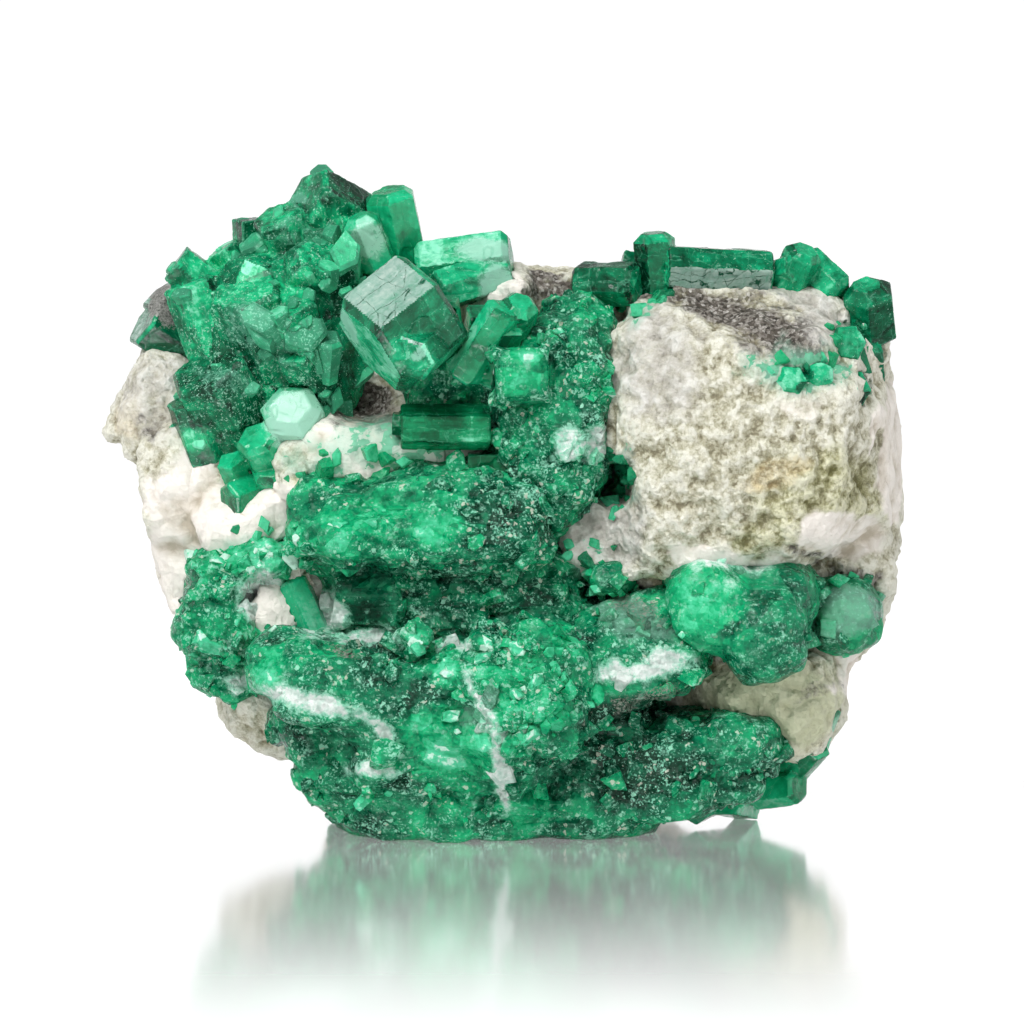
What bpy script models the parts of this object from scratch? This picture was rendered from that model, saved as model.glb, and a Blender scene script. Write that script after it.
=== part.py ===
"""Emerald in matrix: a hand specimen of green beryl crystals in schist and white vein rock.

Run it with: blender --background --python part.py
The origin is on the resting plane, under the middle of the specimen. +X is to the right, -Y is the
display side and +Z is up. Sizes in the tables are millimetres, and MM turns them into metres.
"""

import math
import random
from collections import namedtuple

import bmesh
import bpy
from mathutils import Euler, Matrix, Vector, noise

MM = 0.001

# Driving dimensions, in millimetres
GAP = 0.3  # air left around a crystal
POCKET_SWELL = 0.85  # the same around a rough mass, whose pocket is simpler than its skin
REST_HEIGHT = 0.0  # level of the flat break that the specimen stands on
GROUND_SIZE = 150.0  # the block that cuts that break
MASS_GRID = 0.9  # grid that merges overlapping lumps of emerald into one skin
ROCK_GRID = 1.22
POCKET_GRID = 0.9
UNEVEN = 0.07  # how far the corners of a crystal stray from a regular shape
DISPLAY_SIDE = Vector((0.0, -0.92, 0.39))  # one side face of each prism looks this way

# A crystal is a prism that grows from its base to its tip: both points, the corner radius, a roll
# about its length in degrees, the number of sides, flattening front to back, and the chamfer of
# its ends as a share of the radius.
Crystal = namedtuple("Crystal", "base tip radius roll sides flat chamfer")
Crystal.__new__.__defaults__ = (0.0, 6, 1.0, 0.12)

# A lump is a rounded block: its middle, half sizes, turn about X, Y and Z in degrees, and how
# round it is, from 1 for an ellipsoid down to 0.4 for nearly a brick.
Lump = namedtuple("Lump", "at half turn round")
Lump.__new__.__defaults__ = ((0.0, 0.0, 0.0), 0.66)

# The host rock: schist and white vein spar that grew together
ROCK = (
    Lump((22.5, 2.5, 39.8), (13.6, 17.5, 12.6), (0, 5, 0), 0.56),  # pale upper right block
    Lump((30.4, 4.0, 40.0), (8.8, 12.0, 13.0), (0, -4, 0), 0.66),
    Lump((20.0, 0.0, 31.5), (11.5, 14.0, 5.6), (0, -4, 6), 0.66),
    Lump((22.6, 2.6, 51.2), (12.6, 8.0, 4.0), (0, 5, 0), 0.66),  # schist under the ridge
    Lump((34.4, 4.0, 26.0), (4.8, 8.0, 10.0), (0, 12, 0), 0.72),
    Lump((0.0, 6.0, 26.0), (26.0, 13.0, 18.0), (0, 0, 0), 0.75),  # core
    Lump((-3.0, 8.0, 44.0), (19.0, 11.0, 11.5), (0, 0, 0), 0.7),
    Lump((4.0, 3.5, 49.5), (6.5, 5.5, 5.8), (0, -6, 0), 0.7),  # dark saddle between the peaks
    Lump((-0.2, -3.0, 52.6), (2.4, 4.6, 3.2), (0, 0, 0), 0.7),
    Lump((-21.5, 8.0, 31.0), (12.0, 10.0, 16.0), (0, 0, 0), 0.75),
    Lump((-34.2, 4.0, 41.8), (4.6, 6.5, 5.8), (0, 28, 0), 0.66),  # left lobe
    Lump((-29.0, 7.0, 43.0), (8.0, 7.0, 8.0), (0, 0, 0), 0.75),
    Lump((-31.0, 2.0, 34.4), (5.4, 7.0, 6.4), (0, 0, 0), 0.6),  # white spar, left
    Lump((-31.0, 3.5, 26.5), (3.9, 6.0, 7.6), (0, -8, 0), 0.66),
    Lump((-24.6, -3.5, 31.2), (6.4, 5.0, 3.4), (0, -24, 0), 0.6),
    Lump((-22.4, -2.6, 22.6), (6.8, 5.4, 6.2), (0, 0, 0), 0.7),
    Lump((-11.5, -4.6, 38.0), (11.0, 6.0, 3.2), (0, 3, 0), 0.7),  # white spar, middle
    Lump((-18.2, -5.2, 36.2), (4.5, 5.0, 2.8), (0, -20, 0), 0.66),
    Lump((9.6, -3.6, 29.6), (5.0, 6.0, 4.0), (0, 0, 0), 0.85),  # quartz in the hollow
    Lump((5.6, -3.0, 27.0), (4.2, 5.5, 3.8), (0, 0, 0), 0.85),
    Lump((26.5, 0.0, 13.2), (7.4, 10.0, 5.6), (0, 26, 0), 0.62),  # olive quartz, lower right
    Lump((31.0, 2.0, 16.4), (3.8, 6.0, 4.5), (0, 20, 0), 0.7),
    Lump((-23.2, 4.0, 11.6), (5.4, 7.0, 3.8), (0, 38, 0), 0.66),
    Lump((-2.0, 5.0, 7.0), (16.5, 12.0, 8.0), (0, 0, 0), 0.62),  # foot
    Lump((13.0, 6.0, 9.0), (12.0, 11.0, 7.0), (0, -14, 0), 0.7),
    Lump((4.0, 14.6, 33.0), (21.0, 7.0, 16.0), (6, 0, 0), 0.62),  # back
    Lump((-17.0, 14.0, 40.0), (10.0, 7.0, 11.0), (0, 12, 10), 0.62),
    Lump((20.0, 14.5, 25.0), (10.0, 6.5, 12.0), (0, -14, -8), 0.62),
    Lump((-12.0, 14.0, 17.0), (11.0, 7.0, 10.0), (-8, 10, 6), 0.62),
)

# Open hollows in the host rock
HOLLOWS = (
    Lump((10.2, -8.0, 35.2), (2.7, 11.0, 2.9), (0, 0, 0), 0.8),
    Lump((-14.2, -8.0, 42.6), (3.6, 8.0, 2.2), (0, 10, 0), 0.8),
)

UPPER_LEFT = (
    Lump((-22.0, 1.0, 50.4), (8.4, 7.6, 7.0), (0, 10, 0), 0.72),
    Lump((-17.4, 2.0, 57.4), (5.6, 5.4, 5.0), (0, 0, 0), 0.75),
    Lump((-27.0, -0.6, 43.4), (4.6, 5.6, 6.0), (0, 14, 0), 0.72),
    Lump((-19.6, -0.4, 45.6), (5.4, 5.6, 4.8), (0, 0, 0), 0.75),
)
UPPER_LEFT_CRYSTALS = (
    Crystal((-14.6, 2.6, 59.6), (-19.8, -1.0, 62.6), 3.5, 34),  # summit block
    Crystal((-20.4, 0.0, 56.0), (-22.6, -2.6, 61.0), 2.7, 30),
    Crystal((-25.4, 2.0, 55.0), (-25.6, 1.4, 60.5), 1.9, 30, 4, 1.0, 0.0),
    Crystal((-25.6, 1.0, 53.6), (-28.2, 0.0, 57.6), 1.8, 20, 5, 1.0, 0.0),
    Crystal((-26.0, -1.0, 51.2), (-32.6, -2.0, 56.2), 2.3, 14, 6, 0.85, 0.0),
    Crystal((-28.0, -2.2, 45.6), (-31.2, -3.0, 54.4), 2.7, 4),
    Crystal((-23.4, -2.0, 46.0), (-25.6, -6.6, 53.8), 3.9, 12),
    Crystal((-20.0, -2.0, 53.0), (-18.6, -6.4, 57.0), 3.0, 22, 6, 1.0, 0.3),
    Crystal((-20.0, -2.6, 46.0), (-21.6, -8.0, 52.6), 3.2, 26),
    Crystal((-16.0, -2.0, 51.0), (-17.2, -6.2, 57.0), 3.0, 8),
    Crystal((-25.0, -1.0, 38.8), (-29.2, -6.2, 46.2), 4.2, 10),
    Crystal((-29.4, -2.6, 37.0), (-31.0, -4.4, 42.8), 2.5, 42, 6, 1.0, 0.0),
    Crystal((-18.2, -3.0, 43.0), (-20.2, -7.2, 48.4), 2.8, 16, 6, 1.0, 0.0),
)
TOP_GEM = (Crystal((-9.9, 1.4, 55.0), (-11.6, -1.0, 63.4), 2.7, 22, 6, 0.95, 0.3),)
TOP_GEM_SMALL = (Crystal((-12.2, -2.0, 55.4), (-14.4, -4.0, 60.9), 2.0, 4, 6, 0.9, 0.35),)

# The large hexagonal prism leans back to the right, its flat end facing down and to the left
LARGE_PRISM = (
    Crystal((-7.0, -11.8, 52.9), (-13.0, -14.2, 48.2), 5.7, 22),
    Crystal((-5.5, -11.4, 50.2), (-8.8, -18.4, 47.4), 2.3, 20),
    Crystal((-6.6, -12.8, 50.4), (-10.2, -18.6, 48.2), 1.3, 40, 4, 1.0, 0.0),
)

PALE_CRYSTAL = (
    Crystal((0.6, -2.6, 56.9), (-8.6, -1.6, 55.6), 2.9, 12, 6, 0.95, 0.2),
    Crystal((0.0, -3.6, 55.4), (-6.6, -6.6, 53.4), 2.2, 24, 6, 0.9, 0.1),
)

SLANTED = (
    Crystal((-4.2, -10.6, 45.3), (0.1, -13.0, 52.2), 1.9, 14, 6, 0.95, 0.2),
    Crystal((-1.4, -9.4, 45.0), (-0.2, -12.0, 50.6), 2.2, 40),
    Crystal((0.6, -8.8, 48.6), (1.6, -12.2, 52.8), 2.0, 10, 6, 1.0, 0.35),
    Crystal((-3.0, -8.4, 48.0), (-2.5, -11.0, 51.8), 1.4, 20, 4, 1.0, 0.0),
    Crystal((-4.9, -9.8, 46.0), (-5.6, -11.8, 53.0), 1.3, 0, 5, 1.0, 0.0),
)

DARK_PRISM = (
    Crystal((-10.1, -11.4, 40.6), (-1.5, -10.8, 40.5), 2.3, 24, 6, 0.95, 0.08),
    Crystal((-10.9, -11.2, 40.9), (-9.0, -11.2, 40.8), 1.2, 0, 6, 1.0, 0.0),
)
SMALL_DARK_PRISM = (Crystal((-3.6, -10.6, 37.2), (2.6, -10.4, 37.0), 1.1, 30, 4, 1.0, 0.0),)

GRANULAR = (
    Lump((4.8, -6.2, 41.4), (5.4, 7.0, 9.6), (0, 4, 0), 0.6),
    Lump((7.2, -3.6, 49.6), (3.6, 5.0, 3.0), (0, 8, 0), 0.6),
    Lump((2.2, -5.4, 33.6), (5.2, 6.2, 4.6), (0, -10, 0), 0.66),
    Lump((-4.6, -4.6, 44.4), (5.4, 4.8, 3.6), (0, 6, 0), 0.66),
)
GRANULAR_CRYSTALS = (
    Crystal((1.7, -9.0, 45.3), (1.7, -16.0, 45.8), 3.5, 3, 4, 1.0, 0.22),  # square crystal
    Crystal((6.0, -5.0, 50.4), (8.6, -7.6, 51.6), 1.8, 10, 6, 1.0, 0.0),
    Crystal((8.6, -8.0, 42.6), (7.6, -12.6, 46.6), 1.7, 20, 6, 1.0, 0.0),
    Crystal((4.6, -8.6, 36.6), (6.4, -13.4, 39.4), 1.8, 14, 5, 1.0, 0.0),
)

LEFT_GEMS = (
    Crystal((-20.4, -2.6, 38.8), (-21.0, -8.4, 42.4), 3.2, 24, 6, 0.95, 0.3),  # pale one
    Crystal((-22.6, -4.2, 35.6), (-24.4, -8.2, 39.4), 2.3, 26, 6, 1.0, 0.2),
    Crystal((-23.6, -4.4, 34.2), (-27.2, -7.2, 33.0), 1.8, 10, 6, 1.0, 0.15),
    Crystal((-22.0, -3.0, 33.0), (-23.0, -7.4, 36.4), 2.2, 10, 6, 0.95, 0.25),
    Crystal((-25.8, -4.2, 33.2), (-27.0, -6.8, 37.0), 1.5, 20, 5, 1.0, 0.0),
)

VEIN_CRYSTAL = (Crystal((-18.4, -7.0, 19.6), (-21.0, -6.4, 25.2), 1.6, 10, 6, 0.8, 0.2),)

LOWER_LEFT = (
    Lump((-24.0, -6.0, 27.2), (2.5, 3.2, 2.3), (0, 0, 0), 0.72),
    Lump((-28.0, -4.8, 25.4), (2.9, 4.8, 2.8), (0, 0, 0), 0.66),
    Lump((-28.2, -4.0, 20.4), (3.9, 5.6, 3.2), (0, 6, 0), 0.6),
    Lump((-27.2, -2.4, 15.8), (3.5, 5.2, 2.8), (0, 10, 0), 0.66),
)

# Stacked beds of massive emerald, from the top shelf to the foot
LEDGES = (
    Lump((-8.4, -7.4, 30.0), (13.0, 8.2, 2.9), (0, 2, 2), 0.52),
    Lump((-6.4, -6.4, 33.0), (12.4, 7.6, 2.6), (0, -2, -3), 0.52),
    Lump((-17.8, -6.6, 31.4), (3.0, 5.6, 4.6), (0, 16, 0), 0.6),
    Lump((-3.0, -5.6, 35.4), (6.6, 6.0, 2.2), (0, 2, 0), 0.6),
    Lump((-5.0, -3.6, 24.0), (13.0, 7.0, 5.4), (0, 2, 0), 0.62),
    Lump((-11.5, -8.8, 16.6), (13.2, 9.6, 2.7), (0, 5, -3), 0.5),
    Lump((-9.6, -9.4, 13.0), (12.6, 9.2, 2.6), (0, 12, 3), 0.52),
    Lump((-14.4, -5.6, 9.4), (8.6, 8.0, 3.4), (0, 22, 0), 0.55),
    Lump((-6.4, -8.0, 9.0), (10.6, 9.0, 3.2), (0, 4, 4), 0.55),
    Lump((-11.0, -5.6, 5.0), (9.0, 8.6, 3.2), (0, 14, 0), 0.55),
    Lump((1.4, -10.6, 17.4), (6.2, 8.8, 3.6), (0, -6, 0), 0.58),
    Lump((1.8, -11.2, 13.0), (6.0, 9.4, 4.4), (0, -10, 4), 0.58),
    Lump((12.6, -7.4, 20.4), (6.6, 6.6, 2.9), (0, -16, 6), 0.6),
    Lump((13.0, -7.8, 16.4), (7.0, 7.6, 3.0), (0, -24, 0), 0.6),
    Lump((15.0, -4.6, 8.4), (12.6, 8.4, 3.2), (0, -6, 0), 0.52),
    Lump((13.0, -4.8, 4.6), (12.4, 8.6, 3.0), (0, -9, -4), 0.52),
    Lump((-4.4, -3.6, 2.6), (13.0, 9.6, 3.0), (0, 0, 0), 0.52),
    Lump((6.4, -4.6, 2.2), (8.4, 8.6, 2.6), (0, -3, 0), 0.55),
)
LEDGE_CRYSTALS = (
    Crystal((-16.4, -9.4, 24.0), (-10.2, -9.6, 24.0), 3.1, -12, 6, 0.9, 0.08),  # dark band
    Crystal((-10.4, -8.8, 22.0), (-2.0, -9.8, 22.0), 2.7, 10, 6, 0.9, 0.1),
    Crystal((-4.0, -8.2, 25.2), (5.4, -7.4, 24.6), 2.7, -20, 6, 0.9, 0.12),
    Crystal((-9.8, -12.0, 18.2), (-8.4, -17.4, 21.4), 1.6, 10, 4, 1.0, 0.0),  # front sprays
    Crystal((-3.4, -14.0, 17.6), (-1.4, -18.8, 21.4), 1.8, 35, 4, 1.0, 0.0),
    Crystal((0.4, -13.0, 17.6), (2.8, -18.4, 21.2), 1.8, 22, 6, 1.0, 0.0),
    Crystal((-5.0, -16.4, 18.4), (0.6, -20.4, 12.6), 1.8, 4, 6, 0.9, 0.0),
    Crystal((-1.0, -16.0, 17.0), (4.8, -19.8, 14.8), 1.9, 24, 6, 0.9, 0.0),
    Crystal((2.0, -14.0, 14.6), (5.0, -20.0, 11.6), 2.3, 12, 5, 1.0, 0.0),
    Crystal((-0.6, -14.0, 13.6), (1.6, -20.2, 10.4), 1.9, 40, 6, 1.0, 0.0),
)

NODULES = (
    Lump((19.8, -10.2, 23.2), (4.4, 6.0, 4.6), (0, 0, 0), 0.82),
    Lump((25.2, -10.8, 20.6), (4.1, 6.4, 4.6), (0, -12, 0), 0.68),
    Lump((27.0, -8.2, 24.2), (3.6, 5.0, 3.2), (0, 10, 0), 0.75),
)
RIGHT_NODULE = (Lump((33.6, -3.8, 21.4), (3.6, 5.0, 3.6), (0, 0, 0), 0.84),)
SMALL_NODULE = (Lump((10.4, -7.2, 25.6), (2.3, 3.4, 1.7), (0, -12, 0), 0.75),)

CORNER = (
    Crystal((30.2, -1.0, 7.0), (31.6, -4.0, 12.4), 2.0, 10, 6, 1.0, 0.2),
    Crystal((28.0, -1.0, 4.6), (30.8, -5.0, 8.8), 1.8, 26, 6, 1.0, 0.2),
    Crystal((25.0, -0.6, 3.2), (29.4, -4.0, 4.2), 2.0, 12, 6, 0.9, 0.2),
    Crystal((24.4, 2.0, 1.6), (22.0, -3.6, 3.0), 2.0, 30, 5, 1.0, 0.0),
    Crystal((22.0, 1.0, 2.6), (18.8, -4.0, 2.0), 1.8, 22, 6, 1.0, 0.0),
)

RIDGE_BLOCK = (
    Crystal((7.2, -2.6, 54.2), (13.0, -5.6, 54.2), 2.3, 12, 6, 0.95, 0.2),
    Crystal((11.6, -3.0, 53.4), (12.4, -1.6, 57.2), 0.9, 10, 4, 1.0, 0.0),
)
RIDGE_PRISMS = (
    Crystal((15.2, -3.0, 52.8), (14.6, -4.0, 59.2), 2.1, 6, 6, 0.95, 0.35),
    Crystal((15.8, -4.4, 56.0), (26.2, -3.0, 55.5), 2.3, -8, 6, 0.95, 0.08),
)
RIDGE_CLUSTER = (
    Crystal((27.8, -1.6, 53.2), (29.6, -4.0, 57.6), 2.0, 12, 6, 0.95, 0.3),
    Crystal((29.5, -0.6, 56.6), (33.2, -3.0, 53.2), 1.9, 30, 6, 0.95, 0.3),
    Crystal((26.0, -1.0, 54.8), (28.6, -4.0, 55.8), 1.5, 5, 6, 1.0, 0.0),
)
EDGE_CRYSTALS = (
    Crystal((36.6, 0.0, 48.4), (35.6, -4.0, 54.2), 2.7, 16, 6, 0.95, 0.4),
    Crystal((35.8, 0.0, 43.0), (35.2, -3.0, 48.4), 2.2, 30, 6, 0.9, 0.3),
    Crystal((33.8, -2.0, 48.8), (33.2, -10.6, 48.6), 1.8, 12, 6, 1.0, 0.15),
)
EDGE_PATCH = (Crystal((34.2, -3.0, 44.6), (33.6, -10.0, 44.0), 2.1, 8, 6, 0.95, 0.3),)
PAIRED = (
    Crystal((28.0, -9.0, 45.6), (27.4, -15.6, 45.2), 1.6, 10, 6, 0.9, 0.4),
    Crystal((30.2, -8.0, 45.8), (30.4, -14.4, 45.8), 1.4, 25, 6, 0.95, 0.4),
)
LEFT_PRISM = (
    Crystal((-30.6, 3.4, 46.8), (-36.0, 1.2, 50.4), 2.9, 14, 6, 1.0, 0.1),
    Crystal((-31.4, 4.6, 48.8), (-34.4, 3.2, 53.2), 2.6, 30, 6, 1.0, 0.1),
)


def clear_scene():
    for obj in list(bpy.data.objects):
        bpy.data.objects.remove(obj, do_unlink=True)


def make_collection(name):
    made = bpy.data.collections.new(name)
    bpy.context.scene.collection.children.link(made)
    return made


def make_material(name, colour, roughness, metallic=0.0):
    made = bpy.data.materials.new(name)
    made.use_nodes = True
    shader = made.node_tree.nodes["Principled BSDF"]
    shader.inputs["Base Color"].default_value = (*colour, 1.0)
    shader.inputs["Roughness"].default_value = roughness
    shader.inputs["Metallic"].default_value = metallic
    return made


def add_object(name, mesh, collection):
    obj = bpy.data.objects.new(name, mesh)
    collection.objects.link(obj)
    return obj


def add_helper(name, mesh, helpers):
    """An object that only shapes others, and is never part of the specimen."""
    helper = add_object(name, mesh, helpers)
    helper.hide_render = True
    helper.display_type = "WIRE"
    return helper


def paint(obj, material):
    obj.data.materials.clear()
    obj.data.materials.append(material)


def bake_modifiers(obj):
    """Replaces the object's mesh with what its modifiers make of it."""
    bpy.context.view_layer.update()
    evaluated = obj.evaluated_get(bpy.context.evaluated_depsgraph_get())
    baked = bpy.data.meshes.new_from_object(evaluated)
    obj.modifiers.clear()
    obj.data = baked


def keep_largest_body(obj):
    """Drops the crumbs that a cut leaves loose."""
    bm = bmesh.new()
    bm.from_mesh(obj.data)
    left = set(bm.verts)
    bodies = []
    while left:
        todo = [left.pop()]
        body = set(todo)
        while todo:
            for edge in todo.pop().link_edges:
                for vert in edge.verts:
                    if vert in left:
                        left.discard(vert)
                        body.add(vert)
                        todo.append(vert)
        bodies.append(body)
    bodies.sort(key=len)
    crumbs = [vert for body in bodies[:-1] for vert in body]
    bmesh.ops.delete(bm, geom=crumbs, context="VERTS")
    bm.to_mesh(obj.data)
    bm.free()


def closed_volume(mesh):
    """The volume inside a mesh, or zero where it isn't closed."""
    bm = bmesh.new()
    bm.from_mesh(mesh)
    closed = all(edge.is_manifold for edge in bm.edges)
    volume = bm.calc_volume(signed=True) if closed else 0.0
    bm.free()
    return volume


def thin_out(obj, triangles):
    """Simplifies a skin to about this many triangles, or a few more where that opens it."""
    obj.data.calc_loop_triangles()
    count = len(obj.data.loop_triangles)
    before = obj.data.copy()
    while count > triangles:
        thin = obj.modifiers.new("thin", "DECIMATE")
        thin.ratio = triangles / count
        bake_modifiers(obj)
        if closed_volume(obj.data) > 0.0:
            return
        obj.data = before.copy()
        triangles += 7


def crystal_mesh(crystal, seed, grow=0.0):
    """One prism with uneven corners and chamfered ends, grown by this much on every side."""
    base = Vector(crystal.base)
    length = Vector(crystal.tip) - base
    axis = length.normalized()
    radius = (crystal.radius + grow * 1.16) * MM
    bm = bmesh.new()
    bmesh.ops.create_cone(
        bm,
        cap_ends=True,
        segments=crystal.sides,
        radius1=radius,
        radius2=radius,
        depth=(length.length + 2 * grow) * MM,
    )
    draw = random.Random(seed)
    stretch = [1.0 + draw.uniform(-UNEVEN, UNEVEN) for _ in range(crystal.sides)]
    face_turn = -math.pi / 2 - math.pi / crystal.sides  # the first corner starts out on +Y
    corner_turn = Matrix.Rotation(face_turn + math.radians(crystal.roll), 3, "Z")
    for vert in bm.verts:
        past_first = math.atan2(vert.co.y, vert.co.x) - math.pi / 2
        corner = round(past_first / math.tau * crystal.sides) % crystal.sides
        vert.co.x *= stretch[corner]
        vert.co.y *= stretch[corner]
        vert.co = corner_turn @ vert.co
        vert.co.x *= crystal.flat
    bm.normal_update()
    if crystal.chamfer:
        caps = [face for face in bm.faces if abs(face.normal.z) > 0.9]
        rims = [edge for face in caps for edge in face.edges]
        bmesh.ops.bevel(
            bm, geom=rims, offset=crystal.chamfer * crystal.radius * MM, segments=1, affect="EDGES"
        )
    toward = (DISPLAY_SIDE - axis * DISPLAY_SIDE.dot(axis)).normalized()
    across = axis.cross(toward)
    stand = Matrix((toward, across, axis)).transposed().to_4x4()
    middle = (base + length / 2) * MM
    bm.transform(Matrix.Translation(middle) @ stand)
    mesh = bpy.data.meshes.new("crystal")
    bm.to_mesh(mesh)
    bm.free()
    return mesh


def combine(obj, tool, operation):
    """Joins or cuts with the exact solver, and with the manifold one where that result is open."""
    before = obj.data.copy()
    for solver in ("EXACT", "MANIFOLD"):
        step = obj.modifiers.new("combine", "BOOLEAN")
        step.operation = operation
        step.solver = solver
        step.object = tool
        bake_modifiers(obj)
        if closed_volume(obj.data) > 0.5 * closed_volume(before):
            return
        obj.data = before.copy()
    raise RuntimeError(f"{obj.name} and {tool.name} don't combine")


def join_by_union(obj, meshes, helpers):
    for mesh in meshes:
        tool = add_helper("joined_crystal", mesh, helpers)
        combine(obj, tool, "UNION")
        bpy.data.objects.remove(tool)


def boxes_meet(first, second):
    boxes = []
    for obj in (first, second):
        points = [vert.co for vert in obj.data.vertices]
        low = [min(point[axis] for point in points) for axis in range(3)]
        high = [max(point[axis] for point in points) for axis in range(3)]
        boxes.append((low, high))
    (low_a, high_a), (low_b, high_b) = boxes
    return all(low_a[i] < high_b[i] and low_b[i] < high_a[i] for i in range(3))


def cut_by(obj, cutters):
    for cutter in cutters:
        if boxes_meet(obj, cutter):
            combine(obj, cutter, "DIFFERENCE")
            keep_largest_body(obj)


def cut_flat_base(obj, ground):
    """Cuts an object off at the resting level."""
    if min(vert.co.z for vert in obj.data.vertices) < REST_HEIGHT * MM:
        combine(obj, ground, "DIFFERENCE")
        keep_largest_body(obj)


def lumps_mesh(name, lumps):
    """Overlapping rounded blocks, not yet merged."""
    bm = bmesh.new()
    for lump in lumps:
        half = Vector(lump.half) * MM
        turn = Euler([math.radians(angle) for angle in lump.turn]).to_matrix()
        for vert in bmesh.ops.create_icosphere(bm, subdivisions=4, radius=1.0)["verts"]:
            squared = [math.copysign(abs(part) ** lump.round, part) for part in vert.co]
            shaped = Vector([part * size for part, size in zip(squared, half)])
            vert.co = Vector(lump.at) * MM + turn @ shaped
    mesh = bpy.data.meshes.new(name)
    bm.to_mesh(mesh)
    bm.free()
    return mesh


def merge_skin(obj, grid):
    skin = obj.modifiers.new("skin", "REMESH")
    skin.mode = "VOXEL"
    skin.voxel_size = grid * MM


def vertex_normals(mesh):
    """Summed face by face in order, so that two runs give the very same specimen."""
    normals = [Vector() for _ in mesh.vertices]
    for face in mesh.polygons:
        for corner in face.vertices:
            normals[corner] += face.normal
    return [normal.normalized() for normal in normals]


def facet_lean(cell_point):
    """Which way the facet round this point leans."""
    return Vector([noise.noise(cell_point + Vector((shift, 0.0, 0.0))) for shift in (0.0, 31.4, 62.8)])


def break_surface(obj, cell, depth):
    """Breaks a smooth skin into tilted facets about one cell across, all in millimetres."""
    for vert, normal in zip(obj.data.vertices, vertex_normals(obj.data)):
        scaled = vert.co / (cell * MM)
        nearest = noise.voronoi(scaled)[1][0]
        tilt = facet_lean(nearest * 3.7).dot(scaled - nearest)
        step = noise.noise(nearest * 5.1)
        grain = noise.noise(scaled * 2.3)
        vert.co += normal * depth * MM * (1.5 * tilt + 0.8 * step + 0.3 * grain)


def rough_mass(name, lumps, collection, grid, cell, depth, triangles):
    obj = add_object(name, lumps_mesh(name, lumps), collection)
    merge_skin(obj, grid)
    bake_modifiers(obj)
    break_surface(obj, cell, depth)
    thin_out(obj, triangles)
    keep_largest_body(obj)
    return obj


def swollen_copy(obj, helpers, triangles):
    """A slightly larger, simpler copy, which cuts a pocket with air all round."""
    pocket = add_helper(obj.name + "_pocket", obj.data.copy(), helpers)
    merge_skin(pocket, MASS_GRID)
    bake_modifiers(pocket)
    for vert, normal in zip(pocket.data.vertices, vertex_normals(pocket.data)):
        vert.co += normal * POCKET_SWELL * MM
    merge_skin(pocket, POCKET_GRID)
    bake_modifiers(pocket)
    thin_out(pocket, triangles)
    keep_largest_body(pocket)
    return pocket


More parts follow.
